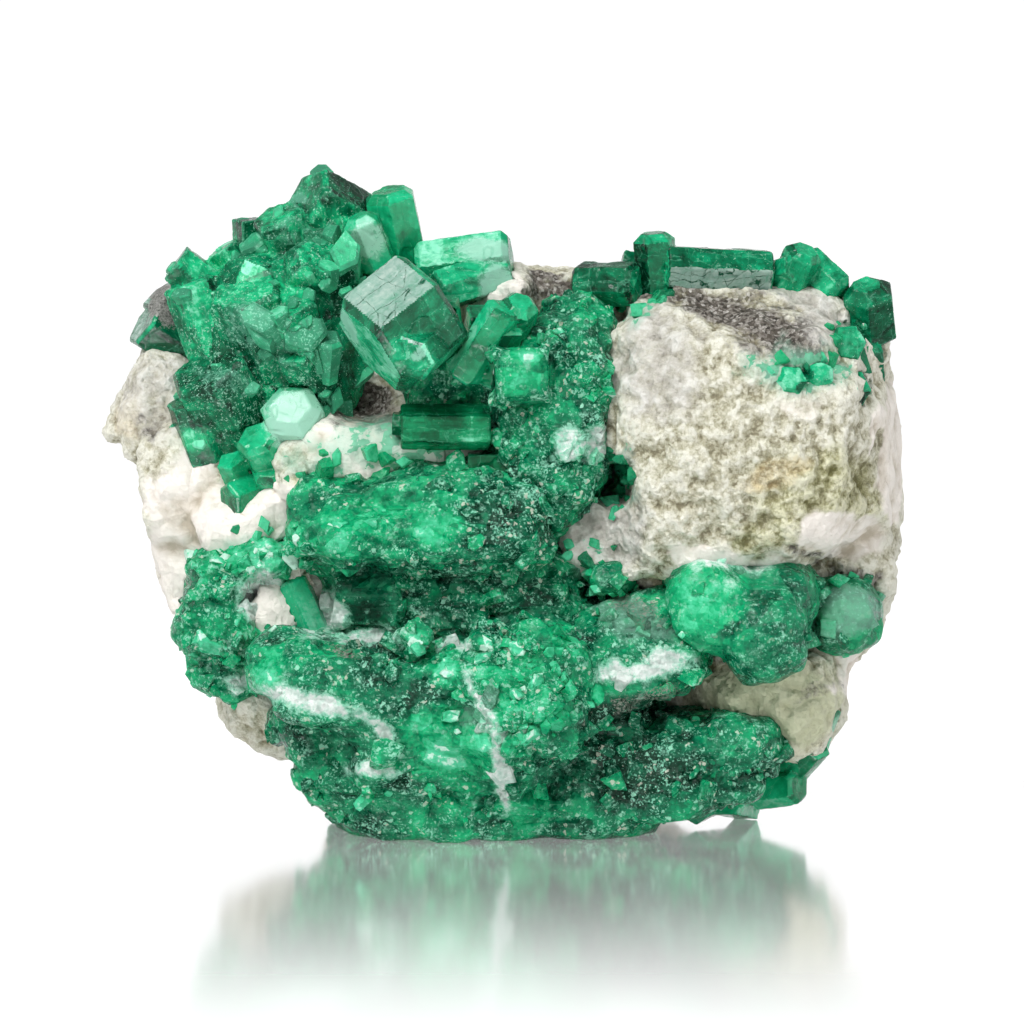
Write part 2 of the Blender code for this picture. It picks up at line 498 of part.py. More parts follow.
def build():
    clear_scene()
    specimen = make_collection("emerald_in_matrix")
    helpers = make_collection("cutters")
    emerald = make_material("emerald", (0.01, 0.30, 0.14), 0.3)
    clear_emerald = make_material("clear_emerald", (0.0, 0.42, 0.18), 0.08)
    rock = make_material("matrix_rock", (0.55, 0.52, 0.44), 0.75)

    below = bmesh.new()
    bmesh.ops.create_cube(below, size=GROUND_SIZE * MM)
    bmesh.ops.translate(below, verts=below.verts, vec=(0, 0, (REST_HEIGHT - GROUND_SIZE / 2) * MM))
    ground_mesh = bpy.data.meshes.new("ground")
    below.to_mesh(ground_mesh)
    below.free()
    ground = add_helper("ground", ground_mesh, helpers)

    pockets = []  # the space that the pieces made so far take up, which later pieces leave free

    def crystals(name, table, material=emerald):
        meshes = [crystal_mesh(crystal, seed) for seed, crystal in enumerate(table)]
        obj = add_object(name, meshes[0], specimen)
        join_by_union(obj, meshes[1:], helpers)
        cut_by(obj, pockets)
        cut_flat_base(obj, ground)
        paint(obj, material)
        grown = [crystal_mesh(crystal, seed, GAP) for seed, crystal in enumerate(table)]
        pocket = add_helper(name + "_pocket", grown[0], helpers)
        join_by_union(pocket, grown[1:], helpers)
        pockets.append(pocket)

    def mass(name, lumps, fused, cell, depth, triangles, all_triangles, pocket_triangles):
        obj = rough_mass(name, lumps, specimen, MASS_GRID, cell, depth, triangles)
        pocket = swollen_copy(obj, helpers, pocket_triangles)
        join_by_union(pocket, [crystal_mesh(c, n, GAP) for n, c in enumerate(fused)], helpers)
        join_by_union(obj, [crystal_mesh(c, n) for n, c in enumerate(fused)], helpers)
        cut_by(obj, pockets)
        thin_out(obj, all_triangles)
        cut_flat_base(obj, ground)
        paint(obj, emerald)
        pockets.append(pocket)

    crystals("large_hexagonal_crystal", LARGE_PRISM)
    crystals("dark_prism", DARK_PRISM, clear_emerald)
    crystals("small_dark_prism", SMALL_DARK_PRISM, clear_emerald)
    crystals("top_gem_crystal", TOP_GEM, clear_emerald)
    crystals("small_top_gem", TOP_GEM_SMALL, clear_emerald)
    crystals("slanted_crystals", SLANTED, clear_emerald)
    crystals("pale_top_crystal", PALE_CRYSTAL)
    crystals("left_gem_crystals", LEFT_GEMS, clear_emerald)
    crystals("vein_crystal", VEIN_CRYSTAL, clear_emerald)
    mass("upper_left_cluster", UPPER_LEFT, UPPER_LEFT_CRYSTALS, 3.6, 0.8, 340, 920, 500)
    crystals("left_prism", LEFT_PRISM)
    crystals("ridge_prisms", RIDGE_PRISMS)
    crystals("ridge_block_crystal", RIDGE_BLOCK)
    crystals("ridge_cluster", RIDGE_CLUSTER)
    crystals("edge_crystals", EDGE_CRYSTALS)
    crystals("edge_patch_crystal", EDGE_PATCH)
    crystals("paired_crystals", PAIRED)
    crystals("corner_crystals", CORNER, clear_emerald)
    mass("granular_emerald", GRANULAR, GRANULAR_CRYSTALS, 3.0, 0.7, 360, 600, 500)
    mass("emerald_ledges", LEDGES, LEDGE_CRYSTALS, 3.6, 0.9, 1150, 1580, 1300)
    mass("lower_left_emerald", LOWER_LEFT, (), 2.6, 0.6, 260, 400, 360)
    mass("green_nodules", NODULES, (), 4.5, 0.4, 240, 320, 260)
    mass("right_nodule", RIGHT_NODULE, (), 3.5, 0.3, 110, 120, 110)
    mass("small_nodule", SMALL_NODULE, (), 2.5, 0.3, 70, 80, 70)

    host = rough_mass("matrix_rock", ROCK, specimen, ROCK_GRID, 5.5, 1.2, 1200)
    hollows = add_helper("hollows", lumps_mesh("hollows", HOLLOWS), helpers)
    merge_skin(hollows, MASS_GRID)
    bake_modifiers(hollows)
    thin_out(hollows, 240)
    pockets.append(hollows)
    cut_by(host, pockets)
    thin_out(host, 3500)
    cut_flat_base(host, ground)
    paint(host, rock)

    for helper in [ground, *pockets]:
        bpy.data.objects.remove(helper)


build()
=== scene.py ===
import itertools
import math

import bmesh
import bpy
import numpy as np
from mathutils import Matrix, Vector
from mathutils.bvhtree import BVHTree


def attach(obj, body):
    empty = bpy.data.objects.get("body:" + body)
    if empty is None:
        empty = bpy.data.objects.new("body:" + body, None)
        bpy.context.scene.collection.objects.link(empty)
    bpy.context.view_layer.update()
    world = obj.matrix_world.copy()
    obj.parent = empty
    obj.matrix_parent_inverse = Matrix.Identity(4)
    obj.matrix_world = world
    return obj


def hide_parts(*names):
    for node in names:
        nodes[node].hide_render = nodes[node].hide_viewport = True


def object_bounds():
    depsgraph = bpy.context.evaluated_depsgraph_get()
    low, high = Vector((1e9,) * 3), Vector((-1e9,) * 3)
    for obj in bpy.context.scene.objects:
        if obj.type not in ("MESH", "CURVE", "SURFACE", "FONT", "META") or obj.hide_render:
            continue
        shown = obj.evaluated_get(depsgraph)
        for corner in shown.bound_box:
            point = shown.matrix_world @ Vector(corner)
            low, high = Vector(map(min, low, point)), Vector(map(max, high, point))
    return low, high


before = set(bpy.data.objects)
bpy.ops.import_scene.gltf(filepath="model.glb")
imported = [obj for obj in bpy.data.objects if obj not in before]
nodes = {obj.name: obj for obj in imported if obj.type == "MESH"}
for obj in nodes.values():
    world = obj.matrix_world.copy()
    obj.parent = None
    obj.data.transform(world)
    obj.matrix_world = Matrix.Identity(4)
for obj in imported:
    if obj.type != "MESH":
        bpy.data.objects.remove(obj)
cadBox = [list(corner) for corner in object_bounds()]
mm = 0.001
boxLow, boxHigh = np.array(cadBox) / mm
scene = bpy.context.scene

# the view of the display side, in millimetres and degrees
view = {"across": 0.7, "up": 31.3, "away": 400, "slope": 5, "lens": 140.6}


def hashed(cells, salt):
    # a steady number from 0 to 1 for each lattice cell
    with np.errstate(over="ignore"):
        whole = cells.astype(np.int64).astype(np.uint32)
        value = whole[:, 0] * np.uint32(73856093) ^ whole[:, 1] * np.uint32(19349663)
        value ^= whole[:, 2] * np.uint32(83492791) ^ np.uint32(salt * 40503 + 7)
        value = (value ^ value >> np.uint32(15)) * np.uint32(2246822519)
        value = (value ^ value >> np.uint32(13)) * np.uint32(3266489917)
        value ^= value >> np.uint32(16)
    return value / 4294967295.0


def cloud(points, size, salt, layers=1):
    # soft noise between -1 and 1, its lumps about this size in millimetres
    total = np.zeros(len(points))
    weight = 1.0
    for layer in range(layers):
        scaled = points / size + 17.3 * salt
        cell = np.floor(scaled)
        part = scaled - cell
        part = part * part * (3 - 2 * part)
        for corner in itertools.product((0, 1), repeat=3):
            share = np.prod(np.where(corner, part, 1 - part), axis=1)
            total += weight * share * (2 * hashed(cell + corner, salt + layer) - 1)
        size *= 0.5
        weight *= 0.5
    return total


def chips(points, size, salt):
    # the height of flat tilted facets
    scaled = points / size + 5.7 * salt
    home = np.floor(scaled)
    nearest = np.full(len(points), 99.0)
    offset = np.zeros_like(points)
    owner = np.zeros_like(points)
    for shift in itertools.product((-1, 0, 1), repeat=3):
        cell = home + shift
        spot = cell + 0.1 + 0.8 * np.stack([hashed(cell, salt + k) for k in (1, 2, 3)], 1)
        away = scaled - spot
        distance = np.einsum("ij,ij->i", away, away)
        closer = distance < nearest
        nearest = np.where(closer, distance, nearest)
        offset[closer] = away[closer]
        owner[closer] = cell[closer]
    lean = np.stack([2 * hashed(owner, salt + k) - 1 for k in (4, 5, 6)], 1)
    return np.einsum("ij,ij->i", lean, offset) + 0.5 * (hashed(owner, salt + 7) - 0.5)


def blocks(points, size, salt, turn):
    # the height of a heap of turned, flat-sided blocks, from about 0 to 0.5
    scaled = points / size + 3.1 * salt
    home = np.floor(scaled)
    height = np.zeros(len(points))
    for shift in itertools.product((-1, 0, 1), repeat=3):
        cell = home + shift
        draw = [hashed(cell, salt + k) for k in range(1, 7)]
        across, depth, up = (scaled - cell - 0.15 - 0.7 * np.stack(draw[:3], 1)).T
        first, second = (draw[3] - 0.5) * turn, (draw[4] - 0.5) * turn
        across, depth = (
            across * np.cos(first) + depth * np.sin(first), depth * np.cos(first) - across * np.sin(first),
        )
        depth, up = (
            depth * np.cos(second) + up * np.sin(second), up * np.cos(second) - depth * np.sin(second),
        )
        tall = 0.45 + 0.45 * draw[5] - np.max(np.abs([across, depth, up]), axis=0)
        height = np.maximum(height, tall)
    return height


def ease(value, low, high):
    part = np.clip((value - low) / (high - low), 0, 1)
    return part * part * (3 - 2 * part)


def readPoints(mesh):
    flat = np.empty(len(mesh.vertices) * 3, np.float32)
    mesh.vertices.foreach_get("co", flat)
    return flat.reshape(-1, 3).astype(float) / mm


def writePoints(mesh, points):
    mesh.vertices.foreach_set("co", (points * mm).astype(np.float32).ravel())
    mesh.update()


def readNormals(mesh):
    flat = np.empty(len(mesh.vertices) * 3, np.float32)
    mesh.vertex_normals.foreach_get("vector", flat)
    return flat.reshape(-1, 3).astype(float)


def readEdges(mesh):
    flat = np.empty(len(mesh.edges) * 2, np.int32)
    mesh.edges.foreach_get("vertices", flat)
    return flat.reshape(-1, 2)


def readFaces(mesh):
    # the middle and the direction of each face
    centres = np.empty(len(mesh.polygons) * 3, np.float32)
    ways = np.empty(len(mesh.polygons) * 3, np.float32)
    mesh.polygons.foreach_get("center", centres)
    mesh.polygons.foreach_get("normal", ways)
    return centres.reshape(-1, 3) / mm, ways.reshape(-1, 3)


def relaxed(points, edges, rounds):
    # every point drifts to the middle of its neighbours
    first, second = edges[:, 0], edges[:, 1]
    count = np.bincount(edges.ravel(), minlength=len(points))[:, None]
    for _ in range(rounds):
        total = np.empty_like(points)
        for axis in range(3):
            total[:, axis] = np.bincount(first, points[second, axis], len(points))
            total[:, axis] += np.bincount(second, points[first, axis], len(points))
        points = 0.4 * points + 0.6 * total / np.maximum(count, 1)
    return points


def standing(mesh, rounds):
    # how far each point stands out from the surface around it
    points = readPoints(mesh)
    return np.einsum("ij,ij->i", points - relaxed(points, readEdges(mesh), rounds), readNormals(mesh))


def storeNumber(mesh, name, values, domain="POINT"):
    attribute = mesh.attributes.new(name, "FLOAT", domain)
    attribute.data.foreach_set("value", np.asarray(values, np.float32))


def storeVector(mesh, name, values):
    attribute = mesh.attributes.new(name, "FLOAT_VECTOR", "POINT")
    attribute.data.foreach_set("vector", np.asarray(values, np.float32).ravel())


def bake(obj):
    bpy.context.view_layer.update()
    shaped = obj.evaluated_get(bpy.context.evaluated_depsgraph_get())
    mesh = bpy.data.meshes.new_from_object(shaped)
    obj.modifiers.clear()
    obj.data = mesh
    return mesh


def skinOf(name, node, grid, tight=False):
    # a finely meshed copy of a CAD node
    skin = bpy.data.objects.new(name, nodes[node].data.copy())
    scene.collection.objects.link(skin)
    weld = skin.modifiers.new("weld", "WELD")
    weld.merge_threshold = 1e-6
    remesh = skin.modifiers.new("remesh", "REMESH")
    remesh.mode = "VOXEL"
    remesh.voxel_size = grid * mm
    if tight:
        wrap = skin.modifiers.new("wrap", "SHRINKWRAP")
        wrap.target = nodes[node]
    bake(skin)
    return skin


def treeOf(names):
    corners, faces = [], []
    for name in names:
        mesh = nodes[name].data
        start = len(corners)
        corners += [vert.co / mm for vert in mesh.vertices]
        faces += [[start + corner for corner in face.vertices] for face in mesh.polygons]
    return BVHTree.FromPolygons(corners, faces)


def grownAgainst(points, tree, reach):
    # points that lie this near a neighbouring piece move up against it
    moved = points.copy()
    for index, point in enumerate(points):
        spot, _, _, gap = tree.find_nearest(point, reach)
        if spot is not None:
            pull = min(1.0, 2.2 * (1 - gap / reach))
            moved[index] += (np.array(spot) - point) * pull * 1.06
    return moved


def shownAt(points):
    # where a point shows on the display side, along the line of sight
    size = 1 + points[:, 1] / view["away"]
    lift = round(math.tan(math.radians(view["slope"])), 4) * points[:, 1]
    across = points[:, 0] / size
    up = (points[:, 2] - view["up"] + lift) / size + view["up"]
    return across, up


def zoneMask(points, zones, wobble=0.9, salt=11, soft=(0.45, 1.35)):
    # zones are ellipses on the display side: across, up, half width, half height, turn, amount
    across, up = shownAt(points)
    across = across + wobble * cloud(points, 3.0, salt, 3)
    up = up + wobble * cloud(points, 3.0, salt + 40, 3)
    facing = 1 - ease(points[:, 1], 6, 14)  # the back stays plain
    mask = np.zeros(len(points))
    for x, z, halfX, halfZ, turn, amount in zones:
        cos, sin = math.cos(math.radians(turn)), math.sin(math.radians(turn))
        right = ((across - x) * cos + (up - z) * sin) / halfX
        rise = ((up - z) * cos - (across - x) * sin) / halfZ
        inside = (1 - ease(np.sqrt(right * right + rise * rise), *soft)) * facing * amount
        mask = np.where(np.abs(inside) > np.abs(mask), inside, mask)
    return mask


class Wire:
    # a shader socket that adds its own maths nodes
    def __init__(self, paint, socket):
        self.paint = paint
        self.socket = socket

    def maths(self, operation, first, second):
        return self.paint.node("ShaderNodeMath", {"operation": operation}, {0: first, 1: second})

    def also(self, output):
        # another output of the same node
        return Wire(self.paint, self.socket.node.outputs[output])

    def __add__(self, other):
        return self.maths("ADD", self, other)

    def __radd__(self, other):
        return self.maths("ADD", other, self)

    def __sub__(self, other):
        return self.maths("SUBTRACT", self, other)

    def __rsub__(self, other):
        return self.maths("SUBTRACT", other, self)

    def __mul__(self, other):
        return self.maths("MULTIPLY", self, other)

    def __rmul__(self, other):
        return self.maths("MULTIPLY", other, self)


class Paint:
    # one material, or the room, and the nodes that go into it
    def __init__(self, owner):
        self.owner = owner
        owner.use_nodes = True
        self.tree = owner.node_tree
        self.tree.nodes.clear()

    def place(self):
        # where a point is, in millimetres
        spot = self.node("ShaderNodeTexCoord", output="Object")
        return self.arrow("SCALE", {0: spot, "Scale": 1 / mm})

    def arrow(self, operation, inputs, output=0):
        return self.node("ShaderNodeVectorMath", {"operation": operation}, inputs, output)

    def node(self, kind, settings=None, inputs=None, output=0):
        made = self.tree.nodes.new(kind)
        for key, value in (settings or {}).items():
            if key == "stops":
                for _ in range(len(value) - 2):
                    made.color_ramp.elements.new(0.5)
                for element, (position, colour) in zip(made.color_ramp.elements, value):
                    element.position = position
                    element.color = (*colour, 1.0)
            else:
                setattr(made, key, value)
        for key, value in (inputs or {}).items():
            socket = made.inputs[key]
            if isinstance(value, Wire):
                self.tree.links.new(value.socket, socket)
            elif isinstance(value, tuple) and socket.type == "RGBA":
                socket.default_value = (*value, 1.0)
            else:
                socket.default_value = value
        return Wire(self, made.outputs[output])

    def mask(self, name):
        return self.node("ShaderNodeAttribute", {"attribute_name": name}, output="Fac")

    def vector(self, name):
        return self.node("ShaderNodeAttribute", {"attribute_name": name}, output="Vector")

    def noise(self, at, scale, detail=3.0, rough=0.55, distortion=0.0):
        inputs = {"Vector": at, "Scale": scale, "Detail": detail, "Roughness": rough}
        inputs["Distortion"] = distortion
        return self.node("ShaderNodeTexNoise", None, inputs)

    def seams(self, at):
        # how far a point is from the nearest seam between cells
        settings = {"feature": "DISTANCE_TO_EDGE"}
        return self.node("ShaderNodeTexVoronoi", settings, {"Vector": at, "Scale": 1.0}, "Distance")

    def facets(self, at, scale, kind="EUCLIDEAN"):
        # flat tilted chips: the height across each chip and the chip's own number
        inputs = {"Vector": at, "Scale": scale}
        cell = self.node("ShaderNodeTexVoronoi", {"distance": kind}, inputs, "Position")
        colour = cell.also("Color")
        away = self.arrow("SUBTRACT", {0: at, 1: cell})
        lean = self.arrow("SUBTRACT", {0: colour, 1: (0.5, 0.5, 0.5)})
        height = self.arrow("DOT_PRODUCT", {0: away, 1: lean}, "Value") * scale
        return height, self.node("ShaderNodeSeparateColor", None, {"Color": colour}, "Green")

    def warped(self, at, scale, amount):
        # the place pushed about by noise, so nothing keeps straight edges
        push = self.noise(at, scale, 2.0).also("Color")
        push = self.arrow("SUBTRACT", {0: push, 1: (0.5, 0.5, 0.5)})
        return self.arrow("MULTIPLY_ADD", {0: push, 1: (amount,) * 3, 2: at})

    def stretched(self, at, scale, turn=(0, 0, 0)):
        turn = tuple(math.radians(angle) for angle in turn)
        return self.node("ShaderNodeMapping", None, {"Vector": at, "Scale": scale, "Rotation": turn})

    def smooth(self, value, low, high):
        settings = {"interpolation_type": "SMOOTHSTEP"}
        inputs = {"Value": value, "From Min": low, "From Max": high}
        return self.node("ShaderNodeMapRange", settings, inputs)

    def ramp(self, value, stops):
        return self.node("ShaderNodeValToRGB", {"stops": stops}, {"Fac": value})

    def mix(self, amount, first, second):
        settings = {"data_type": "RGBA", "blend_type": "MIX", "clamp_factor": True}
        return self.node("ShaderNodeMix", settings, {0: amount, 6: first, 7: second}, 2)

    def bump(self, height, strength, depth):
        inputs = {"Strength": strength, "Distance": depth * mm, "Height": height}
        return self.node("ShaderNodeBump", None, inputs, "Normal")

    def finish(self, surface, volume=None, kind="ShaderNodeOutputMaterial"):
        output = self.tree.nodes.new(kind)
        self.tree.links.new(surface.socket, output.inputs["Surface"])
        if volume:
            self.tree.links.new(volume.socket, output.inputs["Volume"])
        return self.owner


deepGreen = (0.0014, 0.034, 0.016)
darkGreen = (0.0014, 0.092, 0.044)
emeraldGreen = (0.002, 0.205, 0.088)
brightGreen = (0.003, 0.400, 0.155)
mintGreen = (0.095, 0.640, 0.360)
paleMint = (0.560, 0.850, 0.700)


def emeraldStone(name, look):
    # broken, mottled emerald: tone, white, frost, veil, mica and relief come from the mesh
    paint = Paint(bpy.data.materials.new(name))
    at = paint.vector("grain")
    tone, relief, facet = paint.mask("tone"), paint.mask("relief"), paint.mask("facet")
    broad = paint.noise(at, look["mottle"], 3.0, 0.55, 0.6)
    clots = paint.noise(at, 1.0, 3.5, 0.65)
    grit = paint.noise(at, 4.0, 3.0, 0.7)
    slab = paint.stretched(at, look["stretch"], look["turn"])
    lines = paint.noise(slab, 1.0, 3.0, 0.6)
    plate, plateTint = paint.facets(paint.stretched(at, look["flat"], (0, 6, 0)), 0.36)
    chip, chipTint = paint.facets(paint.stretched(at, look["flat"], (0, 8, 30)), look["chips"], "CHEBYCHEV")
    splinter, splinterTint = paint.facets(at, look["chips"] * 3.2)
    value = look["level"] + tone + (broad - 0.5) * look["mottleDepth"] + (clots - 0.5) * 0.26
    value = value + (plateTint - 0.5) * 0.20 + (chipTint - 0.5) * 0.15 + (splinterTint - 0.5) * 0.10
    # relief in the tone: painted light on raised points, painted shade in hollows
    value = value + (lines - 0.5) * look["lineDepth"] + relief * 0.14 + (facet - 0.5) * 0.10
    colour = paint.ramp(value, (
        (0.04, deepGreen), (0.21, darkGreen), (0.43, emeraldGreen),
        (0.68, brightGreen), (0.94, mintGreen), (1.0, paleMint),
    ))
    # pale flecks in clumps, and hairlines along the beds
    crowd = (broad - 0.5) * -0.30 + (clots - 0.5) * 0.60 + paint.mask("frost") * 0.04 + relief * 0.04
    crowd = crowd - paint.smooth(tone, 0.08, 0.34) * 0.10  # the brightest stone is the clearest
    frost = paint.smooth(grit + crowd, look["frost"], look["frost"] + 0.045)
    hairs = paint.noise(paint.stretched(at, look["hairs"], (0, 5, 0)), 1.0, 2.0, 0.7)
    frost = frost * 0.80 + paint.smooth(hairs + crowd * 0.3, 0.66, 0.74) * 0.25
    colour = paint.mix(frost, colour, (0.22, 0.60, 0.42))
    fleck = paint.smooth(splinterTint + crowd * 0.9 + (broad - 0.5) * 0.2, 0.95, 0.99)
    fleckStone = paint.mix(paint.smooth(chipTint, 0.50, 0.72), (0.34, 0.74, 0.54), (0.66, 0.64, 0.54))
    colour = paint.mix(fleck * look["flecks"], colour, fleckStone)
    # a grey veil, then mint and white vein stone, then dark mica
    fray = paint.noise(at, 0.8, 5.0, 0.72)
    veil = paint.smooth(paint.mask("veil") + (fray - 0.5) * 1.5, 0.35, 1.0)
    colour = paint.mix(veil * 0.55, colour, (0.22, 0.42, 0.33))
    whiteness = paint.mask("white") + (fray - 0.5) * 2.3 + (grit - 0.5) * 0.7
    colour = paint.mix(paint.smooth(whiteness, 0.10, 0.60) * 0.8, colour, (0.30, 0.68, 0.50))
    white = paint.smooth(whiteness, 0.48, 0.95)
    whiteStone = paint.ramp(clots, ((0.32, (0.38, 0.55, 0.47)), (0.58, (0.74, 0.80, 0.76))))
    colour = paint.mix(white, colour, whiteStone)
    mica = paint.smooth(paint.mask("mica") + (grit - 0.5) * 1.8, 0.35, 0.70)
    micaStone = paint.ramp(grit, ((0.38, (0.015, 0.025, 0.018)), (0.62, (0.28, 0.30, 0.25))))
    colour = paint.mix(mica, colour, micaStone)
    height = plate * 2.2 + chip * 1.4 + splinter * 0.35 + grit * 0.12
    normal = paint.bump(height, look["bump"], 0.7)
    roughness = 0.08 + splinterTint * 0.20 + plateTint * 0.26 + white * 0.25 + veil * 0.15
    surface = paint.node("ShaderNodeBsdfPrincipled", None, {
        "Base Color": colour, "Roughness": roughness, "Normal": normal, "IOR": 1.57,
        "Specular IOR Level": look["shine"],
    })
    return paint.finish(surface)


def clearCrystal(name, look):
    # emerald with streaks, haze and healed cracks along z of grain, as see-through as its look says
    paint = Paint(bpy.data.materials.new(name))
    at = paint.vector("grain")
    side, edge, sheen = paint.mask("side"), paint.mask("edge"), paint.mask("sheen")
    # painted light and shade: each face lighter or darker by the way it faces, added to the tone
    tone = paint.mask("tone") + paint.mask("lit")
    haze = paint.noise(at, 0.24, 4.0, 0.62, 0.8)
    streaks = paint.noise(paint.stretched(at, (1.7, 1.7, 0.13)), 1.0, 5.0, 0.62)
    feathers = paint.noise(at, 1.25, 6.0, 0.72, 0.8)
    grit = paint.noise(at, 4.2, 3.0, 0.7)
    clots = paint.noise(at, 0.62, 4.0, 0.6, 1.2)
    block, blockTint = paint.facets(paint.stretched(at, (0.42, 0.42, 0.30)), 1.0, "CHEBYCHEV")
    value = look["level"] + tone + (haze - 0.5) * 0.8 + (clots - 0.5) * look["clotDepth"]
    value = value + (streaks - 0.5) * look["lineDepth"] + (feathers - 0.5) * 0.38
    value = value + (side - 0.5) * look["sideDepth"] + (blockTint - 0.5) * 0.22
    colour = paint.ramp(value, (
        (0.08, look["dark"]), (0.45, look["body"]), (0.78, look["light"]), (1.0, (0.24, 0.80, 0.53)),
    ))
    # healed cracks run along the crystal and across it
    bent = paint.warped(at, 0.5, 1.2)
    long = paint.seams(paint.stretched(bent, (0.50, 0.50, 0.07), (3, 2, 0)))
    cross = paint.seams(paint.stretched(bent, (0.16, 0.16, 0.42), (12, 8, 0)))
    crack = paint.smooth(long, 0.035, 0.008) + paint.smooth(cross, 0.022, 0.006) * 0.7
    crack = crack * paint.smooth(feathers, 0.42, 0.58)
    colour = paint.mix(crack * 0.28, colour, (0.12, 0.55, 0.34))
    veil = paint.smooth(paint.mask("veil") + (feathers - 0.5) * 1.6, 0.32, 0.9)
    colour = paint.mix(veil * 0.75, colour, look["veil"])
    crowd = (haze - 0.5) * 0.2 + (feathers - 0.5) * 0.45 + paint.mask("frost") * 0.06
    specks = paint.smooth(grit + crowd, look["specks"], look["specks"] + 0.05)
    colour = paint.mix(specks * 0.75, colour, (0.36, 0.70, 0.53))
    # painted reflection: greyish faces that mirror the white room, with dark cracks and specks; on the left
    # prism partly its real grey coat
    paintedReflectionAndCoatPart = paint.smooth(sheen + (haze - 0.5) * 0.55 + (feathers - 0.5) * 0.5, 0.42, 0.62)
    mirror = paint.ramp(feathers * 0.6 + streaks * 0.4, (
        (0.34, (0.12, 0.34, 0.23)), (0.48, (0.30, 0.46, 0.39)), (0.64, (0.48, 0.60, 0.54)),
    ))
    mirror = paint.mix(crack, mirror, (0.004, 0.06, 0.03))
    colour = paint.mix(paintedReflectionAndCoatPart * 0.9, colour, mirror)
    rim = paint.smooth(edge + (grit - 0.5) * 0.9, 0.25, 0.70)
    colour = paint.mix(rim * 0.35, colour, (0.10, 0.58, 0.33))
    mica = paint.smooth(paint.mask("mica") + (feathers - 0.5) * 1.2 + (grit - 0.5) * 0.9, 0.36, 0.62)
    micaStone = paint.ramp(grit, ((0.34, (0.03, 0.035, 0.03)), (0.66, (0.38, 0.38, 0.35))))
    colour = paint.mix(mica, colour, micaStone)
    height = streaks * look["lineBump"] + feathers * 0.28 + block * 0.5 + grit * 0.05 - crack * 0.2
    normal = paint.bump(height, look["bump"], 0.3)
    roughness = look["gloss"] + veil * 0.25 + mica * 0.35 + rim * 0.2 + (feathers - 0.4) * 0.3
    surface = paint.node("ShaderNodeBsdfPrincipled", None, {
        "Base Color": colour, "Roughness": roughness, "Normal": normal, "IOR": 1.57,
        "Specular IOR Level": look["shine"], "Transmission Weight": look["clear"],
    })
    if not look["clear"]:
        return paint.finish(surface)
    volume = paint.node("ShaderNodeVolumeAbsorption", None, {
        "Color": look["depth"], "Density": look["density"],
    })
    return paint.finish(surface, volume)


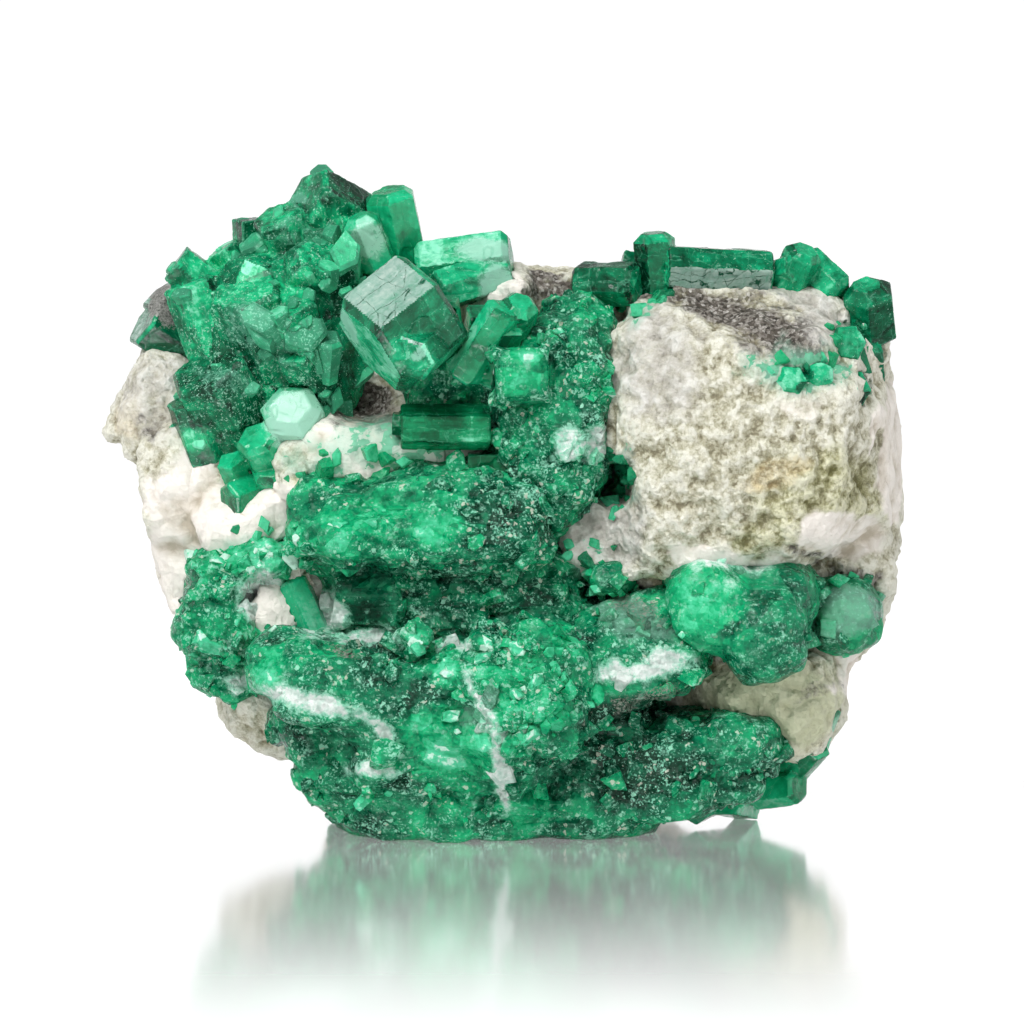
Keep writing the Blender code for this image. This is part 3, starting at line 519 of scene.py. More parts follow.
def hostRock(name, bump):
    # white spar, milky quartz, olive sandy quartz and dark mica schist, each where the mesh says
    paint = Paint(bpy.data.materials.new(name))
    at = paint.place()
    relief, facet = paint.mask("relief"), paint.mask("facet")
    broad = paint.noise(at, 0.12, 4.0, 0.6, 0.4)
    medium = paint.noise(at, 0.55, 5.0, 0.65, 0.3)
    grit = paint.noise(at, 2.4, 5.0, 0.78)
    chip, chipTint = paint.facets(at, 1.0)
    grain, grainTint = paint.facets(at, 3.0)
    fray = (medium - 0.5) * 1.3
    speckle = grit + (grainTint - 0.5) * 0.20 + (chipTint - 0.5) * 0.08
    # relief here: painted light on raised grains, painted shade in hollows
    speckle = speckle + relief * 0.24 + (broad - 0.5) * 0.3
    sand = paint.ramp(speckle, (
        (0.24, (0.24, 0.215, 0.135)), (0.38, (0.44, 0.42, 0.295)), (0.52, (0.625, 0.605, 0.475)),
        (0.72, (0.84, 0.83, 0.72)),
    ))
    olive = paint.ramp(speckle, (
        (0.28, (0.17, 0.16, 0.055)), (0.48, (0.40, 0.39, 0.21)), (0.70, (0.72, 0.71, 0.50)),
    ))
    oliveMask = paint.smooth(paint.mask("olive") + fray, 0.20, 0.95)
    colour = paint.mix(oliveMask, sand, olive)
    ochre = paint.ramp(speckle, ((0.3, (0.34, 0.24, 0.11)), (0.66, (0.74, 0.62, 0.36))))
    colour = paint.mix(paint.smooth(paint.mask("ochre") + fray, 0.40, 1.1) * 0.8, colour, ochre)
    # relief here: painted light on raised points, painted shade in hollows
    milk = medium * 0.6 + grit * 0.4 + (chipTint - 0.5) * 0.10 + relief * 0.12
    quartz = paint.ramp(milk, (
        (0.34, (0.42, 0.40, 0.355)), (0.52, (0.61, 0.59, 0.535)), (0.70, (0.82, 0.81, 0.76)),
    ))
    rear = paint.mask("rear")
    bands = paint.noise(paint.stretched(at, (0.035, 0.05, 0.09), (0, 25, 0)), 1.0, 5.0, 0.6, 0.6)
    quartzMask = paint.mask("quartz") + rear * (bands - 0.42) * 4.0 + fray + (grit - 0.5) * 0.5
    quartzMask = paint.smooth(quartzMask, 0.15, 1.0)
    colour = paint.mix(quartzMask, colour, quartz)
    colour = paint.mix(quartzMask * oliveMask * 0.75, colour, (0.62, 0.655, 0.40))
    # relief here: painted light on raised points, painted shade in hollows
    spar = paint.ramp(medium * 0.5 + broad * 0.5 + relief * 0.25 + (facet - 0.5) * 0.05, (
        (0.30, (0.50, 0.44, 0.35)), (0.44, (0.72, 0.66, 0.575)), (0.62, (0.87, 0.82, 0.755)),
    ))
    sparMask = paint.smooth(paint.mask("spar") + (broad - 0.5) * 0.7 + fray * 0.5, 0.30, 0.62)
    colour = paint.mix(sparMask, colour, spar)
    schist = paint.ramp(grit + (grainTint - 0.5) * 0.40, (
        (0.26, (0.028, 0.023, 0.018)), (0.46, (0.115, 0.098, 0.080)), (0.62, (0.28, 0.26, 0.23)),
        (0.84, (0.66, 0.64, 0.60)),
    ))
    schistMask = paint.mask("schist") + rear * (0.43 - bands) * 6.0 + fray + (grit - 0.5) * 0.9
    schistMask = paint.smooth(schistMask, 0.30, 0.85)
    colour = paint.mix(schistMask, colour, schist)
    green = paint.mask("green") + (medium - 0.5) * 2.4 + (chipTint - 0.5) * 0.5 + (broad - 0.5) * 0.6
    patches = paint.smooth(green, 0.86, 0.96) * paint.smooth(paint.mask("green"), 0.02, 0.2)
    patchStone = paint.ramp(grit * 0.6 + chipTint * 0.4, (
        (0.25, darkGreen), (0.42, emeraldGreen), (0.58, brightGreen), (0.80, mintGreen),
    ))
    colour = paint.mix(patches, colour, patchStone)
    stain = paint.smooth(paint.mask("green") + fray, 0.25, 1.0)
    colour = paint.mix(stain * 0.6, colour, (0.28, 0.56, 0.42))
    emerald = paint.mask("emerald")  # small crystals of it, each with a shade of its own
    crystalStone = paint.ramp(0.22 + emerald * 0.7 + (medium - 0.5) * 0.7 + (grit - 0.5) * 0.3, (
        (0.12, darkGreen), (0.36, emeraldGreen), (0.62, brightGreen), (0.95, mintGreen),
    ))
    isCrystal = paint.smooth(emerald, 0.05, 0.15)
    colour = paint.mix(isCrystal, colour, crystalStone)
    coarse = 1 - sparMask * 0.75
    height = chip * 0.8 + (grit * 0.55 + grain * 0.7) * coarse + medium * 0.4
    normal = paint.bump(height, bump, 0.5)
    roughness = 0.42 + grainTint * 0.28 - quartzMask * 0.10 - isCrystal * 0.25
    surface = paint.node("ShaderNodeBsdfPrincipled", None, {
        "Base Color": colour, "Roughness": roughness, "Normal": normal, "IOR": 1.5,
        "Specular IOR Level": 0.35,
    })
    return paint.finish(surface)


def roughSkin(node, build):
    # broken stone grown over a CAD mass: turned blocks, split beds, then few flat faces
    skin = skinOf(node + "_stone", node, build["grid"])
    mesh = skin.data
    edges = readEdges(mesh)
    points = readPoints(mesh)
    rough = (1 - zoneMask(points, build["calm"], 0.1, soft=(0.9, 1.2)))[:, None]  # calm sides stay flat
    points += (relaxed(points, edges, build["soften"]) - points) * rough
    points = grownAgainst(points, build["tree"], build["reach"])
    writePoints(mesh, points)
    normals = readNormals(mesh)
    squashed = points * build["squash"]
    coarse = blocks(squashed, build["block"], 3, build["turn"])
    fine = blocks(points, build["block"] * 0.42, 9, 2.4)
    height = build["swell"] + build["depth"] * build["block"] * (coarse - 0.2 + build["fine"] * fine)
    height += 0.03 * cloud(points, 0.6, 21, 2)
    if build["beds"]:
        level = (points[:, 2] + 0.06 * points[:, 0] + 1.3 * cloud(points, 6.0, 5, 2)) / 2.3
        height += build["beds"] * (level - np.floor(level) - 0.5) * ease(cloud(points, 5.0, 8), -0.6, 0.5)
    rise = np.clip(points[:, 2] / 0.8, 0, 1)  # the foot stays flat
    points = points + normals * (height * rise)[:, None] * (0.12 + 0.88 * rough)
    past = points - np.clip(points, boxLow, boxHigh)
    points -= 0.55 * past  # keeps the whole stone to its size
    points[:, 2] = np.maximum(points[:, 2], 0.0)
    writePoints(mesh, points)
    thin = skin.modifiers.new("thin", "DECIMATE")
    thin.ratio = build["keep"]
    bake(skin)
    return skin


def sprout(skin, build):
    # small crystals stand in the surface; gives where each point's crystal stands, and its number
    mesh = skin.data
    points, normals = readPoints(mesh), readNormals(mesh)
    draw = np.random.default_rng(build["seed"])
    chance = build["spread"] + np.maximum(zoneMask(points, build["patches"], 0.6), 0)
    chance = chance * (1 - zoneMask(points, build.get("calm", ()), 0.1, soft=(0.9, 1.2)))
    chance = chance * (points[:, 2] > 1.4) * (1 - 0.85 * ease(points[:, 1], 2, 10))
    chosen = draw.choice(len(points), build["count"], replace=False, p=chance / chance.sum())
    smallest, largest = build["sizes"]
    lowest, highest = boxLow - 0.8, boxHigh + 0.8
    corners, faces, seats, numbers = [], [], [points], [np.full(len(points), 0.5)]
    for spot, normal in zip(points[chosen], normals[chosen]):
        radius = smallest * (largest / smallest) ** (draw.random() ** 1.7)
        axis = normal * 0.9 + draw.normal(0, build["lean"], 3) + np.array(build["pull"])
        axis /= np.linalg.norm(axis)
        side = np.cross(axis, draw.normal(0, 1, 3))
        side /= np.linalg.norm(side)
        other = np.cross(axis, side)
        sides = 4 if draw.random() < build["square"] else 6
        angles = np.arange(sides) * 2 * math.pi / sides
        flat = 0.55 + 0.45 * draw.random()
        angles = angles + draw.normal(0, 0.16, sides)
        wide = radius * (1 + draw.normal(0, 0.14, sides))[:, None]
        ring = wide * (np.outer(np.cos(angles), side) + flat * np.outer(np.sin(angles), other))
        length = radius * (1.3 + build["long"] * draw.random())
        cut = (ring @ (side + other * 0.5))[:, None] * axis * (draw.random() - 0.5) * 0.9
        middle = spot - axis * radius * build["sink"]
        tip = middle + axis * length * 0.5  # none sticks out too far
        middle += np.clip(tip, lowest + radius * 0.6, highest - radius * 0.6) - tip
        start = len(corners)
        corners += list(middle - axis * length * 0.5 + ring * 0.8)
        corners += list(middle + axis * (length * 0.5 - radius * 0.18) + ring + cut)
        corners += list(middle + axis * length * 0.5 + ring * 0.80 + cut)
        around = [(k, (k + 1) % sides) for k in range(sides)]
        for layer in (start, start + sides):
            faces += [(layer + k, layer + n, layer + sides + n, layer + sides + k) for k, n in around]
        faces.append(tuple(start + k for k in reversed(range(sides))))
        faces.append(tuple(start + 2 * sides + k for k in range(sides)))
        seats.append(np.tile(spot, (3 * sides, 1)))
        numbers.append(np.full(3 * sides, draw.random()))
    extra = bpy.data.meshes.new("sprouts")
    extra.from_pydata([tuple(corner * mm) for corner in corners], [], faces)
    joined = bmesh.new()
    joined.from_mesh(mesh)
    joined.from_mesh(extra)
    joined.to_mesh(mesh)
    joined.free()
    bpy.data.meshes.remove(extra)
    return np.concatenate(seats), np.concatenate(numbers)


def markStone(skin, zones, seats, numbers, masks=("white", "veil", "mica", "frost")):
    # stores the masks that a stone finish reads
    mesh = skin.data
    points = readPoints(mesh)
    storeNumber(mesh, "relief", np.clip(standing(mesh, 6) / 0.22, -1, 1))
    storeNumber(mesh, "facet", hashed(np.round(readFaces(mesh)[0] * 50), 5), "FACE")
    tone = zoneMask(seats, zones.get("tone", ())) + zones.get("all", 0.0)
    storeNumber(mesh, "tone", tone + (numbers - 0.5) * zones.get("ownTone", 0.5))
    for name in masks:
        amount = zoneMask(seats, zones.get(name, ()), 0.9, 23) + zones.get(name + "All", 0.0)
        storeNumber(mesh, name, amount)
    storeNumber(mesh, "rear", ease(points[:, 1], 4, 12))
    storeVector(mesh, "grain", points + numbers[:, None] * 60)


def dress(skin, material, slotName, *replaced, smooth=False):
    skin.data.materials.clear()
    skin.data.materials.append(material)
    skin.data.polygons.foreach_set("use_smooth", [smooth] * len(skin.data.polygons))
    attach(skin, "root")
    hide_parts(*replaced)
    triangles = sum(len(face.vertices) - 2 for face in skin.data.polygons)
    print(skin.name, triangles, "triangles")


print("growing the massive emerald")

# the masses grow up against the single crystals
massNodes = (
    "emerald_ledges", "granular_emerald", "lower_left_emerald", "green_nodules", "right_nodule",
    "small_nodule", "matrix_rock", "upper_left_cluster",
)
hardPieces = treeOf([name for name in nodes if name not in massNodes])
massLook = {
    "level": 0.395, "mottle": 0.26, "mottleDepth": 0.95, "chips": 0.85, "flat": (0.8, 1.0, 1.3),
    "stretch": (0.3, 0.3, 1.2), "turn": (0, 4, 0), "hairs": (0.30, 0.5, 4.5), "lineDepth": 0.16,
    "frost": 0.635, "bump": 0.9, "shine": 0.18, "flecks": 0.65,
}
massPaint = emeraldStone("massive emerald", massLook)

# Stacked beds of emerald
ledges = {
    "grid": 0.30, "soften": 4, "reach": 0.9, "swell": 0.16,
    "block": 3.6, "turn": 0.9, "depth": 0.50, "fine": 0.16,
    "squash": (0.62, 0.62, 1.1), "beds": 0.22, "keep": 0.30, "tree": hardPieces, "seed": 4, "count": 950,
    "sizes": (0.35, 1.5), "sink": 0.62, "long": 1.5, "lean": 0.65, "pull": (0.0, -0.25, 0.25),
    "square": 0.5, "spread": 0.22,
    "calm": ((-13.8, 23.0, 3.4, 3.2, 0, 0.8), (-6.0, 6.6, 4.0, 2.6, 0, 0.6)),
    "patches": (
        (2.0, 13.5, 6.4, 6.6, 0, 1.0), (1.0, 31.0, 6.0, 5.0, 0, 0.5), (-8.0, 17.0, 9.0, 1.6, 0, 1.0),
        (15.0, 7.0, 12.0, 4.0, 0, 0.3), (-22.0, 29.0, 3.0, 3.0, 0, 0.5), (10.0, 20.0, 5.0, 3.0, 0, 0.3),
    ),
}
ledgeZones = {
    "tone": (
        (-22.0, 28.8, 1.8, 2.6, 0, 0.26),  # left end of the top shelf
        (-10.5, 29.6, 9.5, 2.6, 0, 0.20),
        (-23.3, 15.3, 2.2, 2.0, 0, 0.24),  # bright end of the middle ledge
        (-5.0, 8.4, 6.0, 4.4, 0, 0.30),  # smooth bright front
        (2.0, 13.5, 6.2, 6.4, 0, 0.16),  # front cluster
        (-9.0, 18.2, 1.1, 1.2, 0, 0.44),
        (-6.0, 15.7, 0.9, 1.3, 0, 0.44),
        (-1.5, 18.2, 1.1, 1.2, 0, 0.44),
        (2.0, 1.0, 4.2, 1.8, 0, 0.22),  # foot
        (-5.8, 22.6, 12.4, 3.9, 0, -0.12),  # painted shade: a dark band under the top shelf
        (-13.8, 23.0, 3.3, 3.0, 0, -0.20),
        (13.5, 11.3, 7.4, 1.5, 11, -0.44),  # painted shade in the crevice
        (15.5, 5.0, 12.0, 4.4, 0, -0.24), (-18.0, 8.0, 7.0, 3.6, -20, -0.10),
        (-14.0, 14.6, 5.0, 1.4, 0, -0.12),
        (1.5, 31.0, 5.6, 5.0, 0, -0.26), (-13.5, 15.6, 3.4, 2.6, 0, -0.20),
        (-9.0, 12.6, 3.4, 2.4, 0, -0.14),
    ),
    "white": (
        (-13.5, 18.6, 3.4, 1.0, 4, 0.9), (-5.5, 17.9, 2.2, 0.8, 0, 0.8),
        (-19.5, 12.0, 5.6, 1.1, -15, 1.1), (-13.0, 5.2, 3.0, 1.0, -8, 1.0),
        (-12.4, 8.9, 3.4, 0.9, -48, 1.1), (-0.4, 4.6, 0.7, 4.6, 4, 1.1), (-2.6, 12.4, 0.7, 4.6, 28, 0.9),
        (-18.6, 21.2, 2.8, 2.8, 0, 1.1),
        (14.2, 15.4, 5.2, 1.5, 10, 1.1),
    ),
    "veil": (
        (13.0, 20.4, 5.6, 2.4, -20, 0.9), (-2.6, 11.4, 1.0, 3.6, -35, 0.9), (13.0, 14.0, 6.5, 2.4, 10, 0.5),
        (10.0, 24.2, 4.5, 1.6, -35, 1.0),
    ),
    "mica": (
        (12.0, 22.2, 6.0, 1.4, -22, 0.45), (14.0, 12.4, 7.4, 0.6, 14, 0.5), (-16.0, 17.0, 2.4, 0.5, -20, 0.6),
    ),
    "frost": (
        (2.0, 13.5, 6.4, 6.6, 0, 0.9), (1.0, 31.0, 6.0, 5.0, 0, 0.8), (15.0, 6.0, 12.0, 5.0, 0, -0.5),
        (-8.0, 24.0, 9.0, 3.0, 0, 0.5), (-14.0, 8.0, 8.0, 5.0, 0, 0.4),
        (-13.8, 23.0, 3.4, 3.2, 0, -3.4), (-5.0, 8.4, 5.0, 3.2, 0, -2.6),  # smooth, glassy breaks
        (-23.3, 15.3, 2.4, 2.2, 0, -2.2), (-19.5, 30.6, 5.0, 2.0, 0, -2.0),
        (-12.0, 32.6, 4.0, 1.4, 0, -1.8), (4.5, 18.0, 1.6, 1.6, 0, -2.0),
        (-3.6, 18.4, 1.4, 1.3, 0, -2.4), (6.0, 9.6, 2.6, 2.0, 0, -2.0),
        (2.0, 2.4, 3.4, 1.6, 0, -1.8), (13.5, 12.8, 6.0, 1.4, 10, -1.6),
    ),
    "frostAll": 0.25,
    "ownTone": 0.42,
}
skin = roughSkin("emerald_ledges", ledges)
markStone(skin, ledgeZones, *sprout(skin, ledges))
dress(skin, massPaint, "massive_emerald", "emerald_ledges")

# Granular column in the middle
granular = dict(
    ledges, grid=0.27, block=2.3, turn=1.6, squash=(1, 1, 1), beds=0.0, keep=0.38, seed=7, count=330,
    sizes=(0.3, 1.3), spread=0.3, patches=((6.0, 41.0, 6.0, 11.0, 0, 0.6),),
    calm=((2.0, 45.2, 3.0, 3.2, 0, 1.0), (1.6, 51.6, 2.2, 1.8, 0, 0.8)),
)
granularZones = {
    "tone": (
        (2.2, 45.2, 2.6, 2.6, 0, 0.26),  # the square crystal
        (1.9, 46.4, 1.0, 0.9, 0, 0.50),
        (6.0, 51.5, 3.4, 2.0, 0, -0.06), (7.6, 40.0, 3.2, 8.0, 0, -0.05),
        (3.0, 34.0, 4.0, 3.0, 0, -0.08),
    ),
    "white": ((6.6, 37.6, 2.2, 1.9, 20, 0.7), (9.2, 38.6, 0.8, 2.4, -10, 0.9)),
    "veil": ((6.6, 37.8, 2.6, 2.4, 0, 0.8), (8.2, 41.0, 1.8, 2.4, 0, 0.5), (2.6, 46.6, 1.0, 1.4, 0, 0.9)),
    "frost": (
        (6.0, 41.0, 6.0, 11.0, 0, 1.1), (2.2, 45.2, 2.8, 2.8, 0, -3.2), (2.0, 51.4, 2.6, 2.2, 0, -2.2),
    ),
    "frostAll": 0.3,
}
skin = roughSkin("granular_emerald", granular)
markStone(skin, granularZones, *sprout(skin, granular))
dress(skin, massPaint, "massive_emerald", "granular_emerald")

# Small dark masses at the lower left
lowerLeft = dict(
    ledges, calm=(), grid=0.25, block=2.4, turn=1.2, squash=(1, 1, 1), beds=0.15, keep=0.38,
    seed=9, count=240, sizes=(0.35, 1.2), spread=0.3, patches=((-25.5, 26.5, 5.0, 2.4, 0, 0.8),),
)
lowerLeftZones = {
    "tone": (
        (-25.5, 27.0, 3.6, 2.0, 0, 0.22), (-25.0, 17.0, 2.4, 2.0, 0, 0.1),
        (-28.5, 21.0, 3.6, 3.0, 0, -0.12), (-27.0, 15.8, 4.0, 2.6, 0, -0.10),
    ),
    "all": 0.12,
    "white": ((-26.8, 14.2, 1.6, 0.9, 20, 0.8), (-24.0, 22.4, 3.2, 3.2, 0, 1.1)),
    "veil": ((-28.0, 17.8, 3.0, 0.6, 0, 0.6),),
    "frost": ((-28.0, 21.0, 5.0, 8.0, 0, 0.7),),
    "frostAll": 0.2,
}
skin = roughSkin("lower_left_emerald", lowerLeft)
markStone(skin, lowerLeftZones, *sprout(skin, lowerLeft))
dress(skin, massPaint, "massive_emerald", "lower_left_emerald")

# Rounded pale and deep green nodules
nodules = dict(
    ledges, calm=(), grid=0.24, soften=6, reach=0.7, swell=0.2, block=2.8, turn=3.0, depth=0.26,
    squash=(1, 1, 1), beds=0.0, keep=0.5,
    seed=12, count=26, sizes=(0.5, 1.3), spread=1.0, patches=(), lean=0.4,
)
noduleLook = dict(
    massLook, mottle=0.18, mottleDepth=0.6, lineDepth=0.04, bump=0.42, frost=0.665, flecks=0.16,
    hairs=(0.8, 0.8, 0.9),
)
noduleZones = {
    "tone": (
        (20.4, 23.2, 3.6, 4.6, 0, 0.25), (21.8, 19.8, 2.2, 0.9, 0, -0.16), (26.6, 21.6, 4.6, 5.8, 0, -0.07),
        (34.6, 20.6, 3.2, 3.6, 0, 0.10),
    ),
    "white": ((23.0, 26.9, 5.6, 1.2, -5, 0.8), (22.4, 24.6, 1.0, 2.2, 0, 0.35)),
    "veil": (
        (20.0, 24.6, 2.8, 2.0, 0, 0.5), (34.4, 21.8, 3.6, 3.0, 0, 1.1), (25.0, 26.0, 4.0, 1.4, 0, 0.7),
    ),
    "frostAll": 0.2,
}
nodulePaint = emeraldStone("nodule emerald", noduleLook)
for node in ("green_nodules", "right_nodule", "small_nodule"):
    skin = roughSkin(node, nodules)
    markStone(skin, noduleZones, *sprout(skin, nodules))
    dress(skin, nodulePaint, "massive_emerald", node)

print("cutting the crystals")

# Crystals with flat sides
gemLook = {
    "dark": (0.0006, 0.085, 0.036), "body": (0.002, 0.36, 0.145), "light": (0.018, 0.66, 0.31),
    "level": 0.45, "lineDepth": 0.35, "lineBump": 0.15, "sideDepth": 0.60, "specks": 0.70, "bump": 0.35,
    "gloss": 0.04, "shine": 0.24, "clotDepth": 0.5, "veil": (0.50, 0.86, 0.69), "clear": 0.28,
    "depth": (0.05, 0.80, 0.42), "density": 110.0,
}
gemPaint = clearCrystal("clear emerald", gemLook)
deepLook = dict(
    gemLook, dark=(0.0, 0.030, 0.012), body=(0.0005, 0.130, 0.048), light=(0.004, 0.34, 0.13),
    clear=0.20, density=300.0, sideDepth=0.3, lineDepth=0.7, shine=0.09, specks=0.72,
)
deepPaint = clearCrystal("deep emerald", deepLook)
prismLook = dict(
    gemLook, dark=(0.0004, 0.028, 0.012), body=(0.0015, 0.165, 0.070), light=(0.010, 0.47, 0.21),
    clear=0.12, density=180.0, lineBump=0.3, gloss=0.08, specks=0.665, sideDepth=0.60, shine=0.17,
    clotDepth=0.7, veil=(0.34, 0.66, 0.52),
)
prismPaint = clearCrystal("prism emerald", prismLook)
clusterLook = dict(
    prismLook, clear=0.0, specks=0.635, sideDepth=0.55, lineDepth=0.60, level=0.45, bump=0.70,
    gloss=0.12, shine=0.18, clotDepth=1.0, veil=(0.10, 0.34, 0.23), light=(0.006, 0.46, 0.19),
)
clusterPaint = clearCrystal("intergrown emerald", clusterLook)
wear = {"edges": 0.25, "pits": 0.12, "steps": 0.10, "waves": 0.03}  # how deep each goes, in millimetres
# along: the way a crystal grows; mirror: side directions and amounts of painted reflection, on the left prism
# partly its real grey coat; the second side list: directions and amounts of painted light, painted shade
# where negative; the rest: zones
crystals = {
    "upper_left_cluster": {  # intergrown prisms
        "along": (-0.25, -0.30, 0.90), "paint": clusterPaint, "tone": 0.0, "grid": 0.23,
        "sprouts": {
            "seed": 15, "count": 105, "sizes": (0.7, 2.2), "sink": 0.66, "long": 1.5,
            "lean": 0.30, "pull": (-0.3, -0.7, 0.8), "square": 0.15, "spread": 0.25,
            "patches": ((-20.0, 52.0, 8.0, 9.0, 0, 0.5), (-19.0, 42.5, 4.0, 3.0, 0, 0.8)),
        },
        "tints": (
            (-28.0, 42.0, 4.8, 4.2, 0, -0.16), (-31.0, 38.6, 2.2, 1.5, 0, 0.34),
            (-15.8, 63.0, 3.2, 2.6, 0, -0.22), (-25.6, 59.6, 1.7, 1.3, 0, -0.26),
            (-23.5, 55.6, 6.0, 3.4, 0, 0.16), (-25.6, 49.8, 3.0, 2.8, 0, -0.14),
            (-17.5, 43.0, 3.6, 3.4, 0, -0.12), (-32.0, 52.6, 1.6, 4.0, 20, 0.10),
        ),
        "veil": (
            (-25.6, 50.2, 3.4, 3.4, 0, 0.6), (-21.0, 59.0, 3.2, 2.4, 0, 0.5),
            (-19.0, 52.0, 4.0, 4.0, 0, 0.35), (-22.4, 47.0, 2.6, 2.6, 0, 0.5),
            (-28.0, 44.6, 4.0, 1.2, -20, 0.6), (-20.4, 62.6, 1.4, 0.8, 0, 0.9),
            (-30.5, 53.0, 1.6, 3.6, 20, 0.4),
        ),
        "frost": ((-24.0, 46.0, 10.0, 10.0, 0, 1.0), (-20.0, 57.0, 8.0, 6.0, 0, 0.6)),
    },
    "large_hexagonal_crystal": {
        "along": (-0.75, -0.30, -0.59), "paint": prismPaint, "tone": 0.04,
        "mirror": ((-0.22, -0.73, 0.65, 1.0), (-0.65, 0.20, 0.73, 0.45)),
        "paintedLightSides": ((-0.75, -0.30, -0.59, 0.32), (0.46, -0.88, -0.14, -0.08), (0.65, -0.18, -0.74, -0.12)),
        "tints": ((-9.4, 46.9, 3.2, 2.4, 0, 0.42), (-16.4, 50.4, 1.4, 4.0, 32, 0.18)),
        "veil": ((-15.5, 49.5, 0.7, 2.8, 30, 1.0), (-9.0, 47.0, 0.8, 1.6, -50, 0.8)),
    },
    "dark_prism": {"along": (1, 0, 0), "paint": deepPaint, "tone": 0.0,
                   "tints": ((-8.8, 39.8, 1.8, 2.4, 0, 0.14), (-3.0, 39.6, 1.4, 2.4, 0, 0.22))},
    "small_dark_prism": {"along": (1, 0, 0), "paint": deepPaint, "tone": 0.1},
    "top_gem_crystal": {"along": (-0.19, -0.27, 0.94), "paint": gemPaint, "tone": 0.10,
                        "paintedLightSides": ((-0.5, -0.8, -0.33, 0.26), (0.5, -0.86, -0.14, -0.20))},
    "small_top_gem": {"along": (-0.35, -0.32, 0.88), "paint": gemPaint, "tone": 0.26,
                      "veil": ((-14.0, 58.6, 2.4, 2.4, 0, 0.9),)},
    "slanted_crystals": {"along": (0.5, -0.3, 0.8), "paint": gemPaint, "tone": 0.04,
                         "paintedLightSides": ((-0.82, -0.45, 0.36, 0.12), (0.39, -0.8, -0.46, -0.16))},
    "pale_top_crystal": {"along": (1, 0.1, 0.1), "paint": prismPaint, "tone": 0.16,
                         "mirror": ((-0.13, 0.11, 0.99, 0.7),),
                         "paintedLightSides": ((-0.17, -0.81, 0.56, 0.04),),
                         "veil": ((-2.0, 57.4, 3.6, 1.4, 0, 1.0), (-1.0, 54.0, 2.0, 2.4, 0, 1.1))},
    "left_gem_crystals": {"along": (-0.3, -0.6, 0.7), "paint": gemPaint, "tone": 0.06,
                          "tints": ((-21.0, 40.5, 3.2, 3.4, 0, 0.6), (-23.4, 35.8, 1.2, 2.4, 0, -0.2)),
                          "veil": ((-21.0, 40.5, 3.4, 3.6, 0, 1.2),)},
    "vein_crystal": {"along": (-0.4, 0.1, 0.9), "paint": gemPaint, "tone": 0.42},
    "left_prism": {"along": (-0.8, -0.3, 0.6), "paint": prismPaint, "tone": -0.05,
                   "mirror": ((-0.54, -0.25, 0.80, 0.8), (-0.79, -0.32, 0.53, 0.5)),
                   "paintedLightSides": ((0.55, -0.76, 0.35, -0.25),),
                   "mica": ((-33.6, 52.0, 2.0, 2.6, 20, 1.0),)},
    "ridge_prisms": {"along": (1, 0, 0), "paint": prismPaint, "tone": 0.0,
                     "mirror": ((0.10, -0.88, -0.47, 0.75),), "paintedLightSides": ((0.14, -0.81, 0.57, -0.10),)},
    "ridge_block_crystal": {"along": (1, -0.4, 0), "paint": prismPaint, "tone": -0.06},
    "ridge_cluster": {"along": (0.3, -0.4, 0.8), "paint": prismPaint, "tone": 0.06},
    "edge_crystals": {"along": (0, -0.5, 0.8), "paint": prismPaint, "tone": 0.04},
    "edge_patch_crystal": {"along": (0, -1, 0), "paint": prismPaint, "tone": 0.04},
    "paired_crystals": {"along": (0, -1, 0), "paint": prismPaint, "tone": 0.24},
    "corner_crystals": {"along": (0.3, -0.5, 0.6), "paint": gemPaint, "tone": 0.14},
}


def onSides(sides, rows):
    # adds each row's amount where the side faces that row's direction
    total = np.zeros(len(sides))
    for x, y, z, amount in rows:
        way = np.array((x, y, z)) / math.sqrt(x * x + y * y + z * z)
        total += ease(sides @ way, 0.93, 0.97) * amount
    return total


def crystalSkin(node, build):
    # a tight skin with bitten edges, pits and shallow steps
    skin = skinOf(node + "_gem", node, build.get("grid", 0.16), tight=True)
    mesh = skin.data
    points, normals = readPoints(mesh), readNormals(mesh)
    bite = ease(standing(mesh, 3), 0.03, 0.12) * ease(cloud(points, 1.1, 31, 2), 0.0, 0.8) * wear["edges"]
    pit = ease(cloud(points, 1.6, 37, 2), 0.45, 0.7) * wear["pits"]
    step = wear["steps"] * blocks(points, 2.2, 41, 0.8)
    points = points + normals * (wear["waves"] * cloud(points, 2.6, 33) + step - bite - pit)[:, None]
    writePoints(mesh, points)
    return skin, points


def markCrystal(skin, node, build, flatSides, seats, numbers):
    # stores the masks that a crystal's finish reads; the first faces belong to the node's flat sides
    mesh = skin.data
    centres, sides = readFaces(mesh)
    tree = treeOf([node])
    for index in range(flatSides):
        sides[index] = tree.find_nearest(centres[index])[1]
    storeNumber(mesh, "edge", np.clip(standing(mesh, 3) / 0.12, 0, 1))
    storeNumber(mesh, "side", hashed(np.round(sides * 4), 6), "FACE")
    # painted reflection on the sides that face the mirror directions; on the left prism partly its real grey
    # coat
    storeNumber(mesh, "sheen", onSides(sides, build.get("mirror", ())), "FACE")
    # painted light and shade by the direction each side faces
    storeNumber(mesh, "lit", onSides(sides, build.get("paintedLightSides", ())), "FACE")
    tone = build["tone"] + zoneMask(seats, build.get("tints", ()), 0.4)
    storeNumber(mesh, "tone", tone + numbers * 0.4 - 0.2)
    for name in ("veil", "mica", "frost"):
        storeNumber(mesh, name, zoneMask(seats, build.get(name, ()), 0.6, 23))
    along = Vector(build["along"]).normalized()
    turned = np.array(along.to_track_quat("Z", "Y").to_matrix().inverted())
    storeVector(mesh, "grain", readPoints(mesh) @ turned.T + numbers[:, None] * 60)


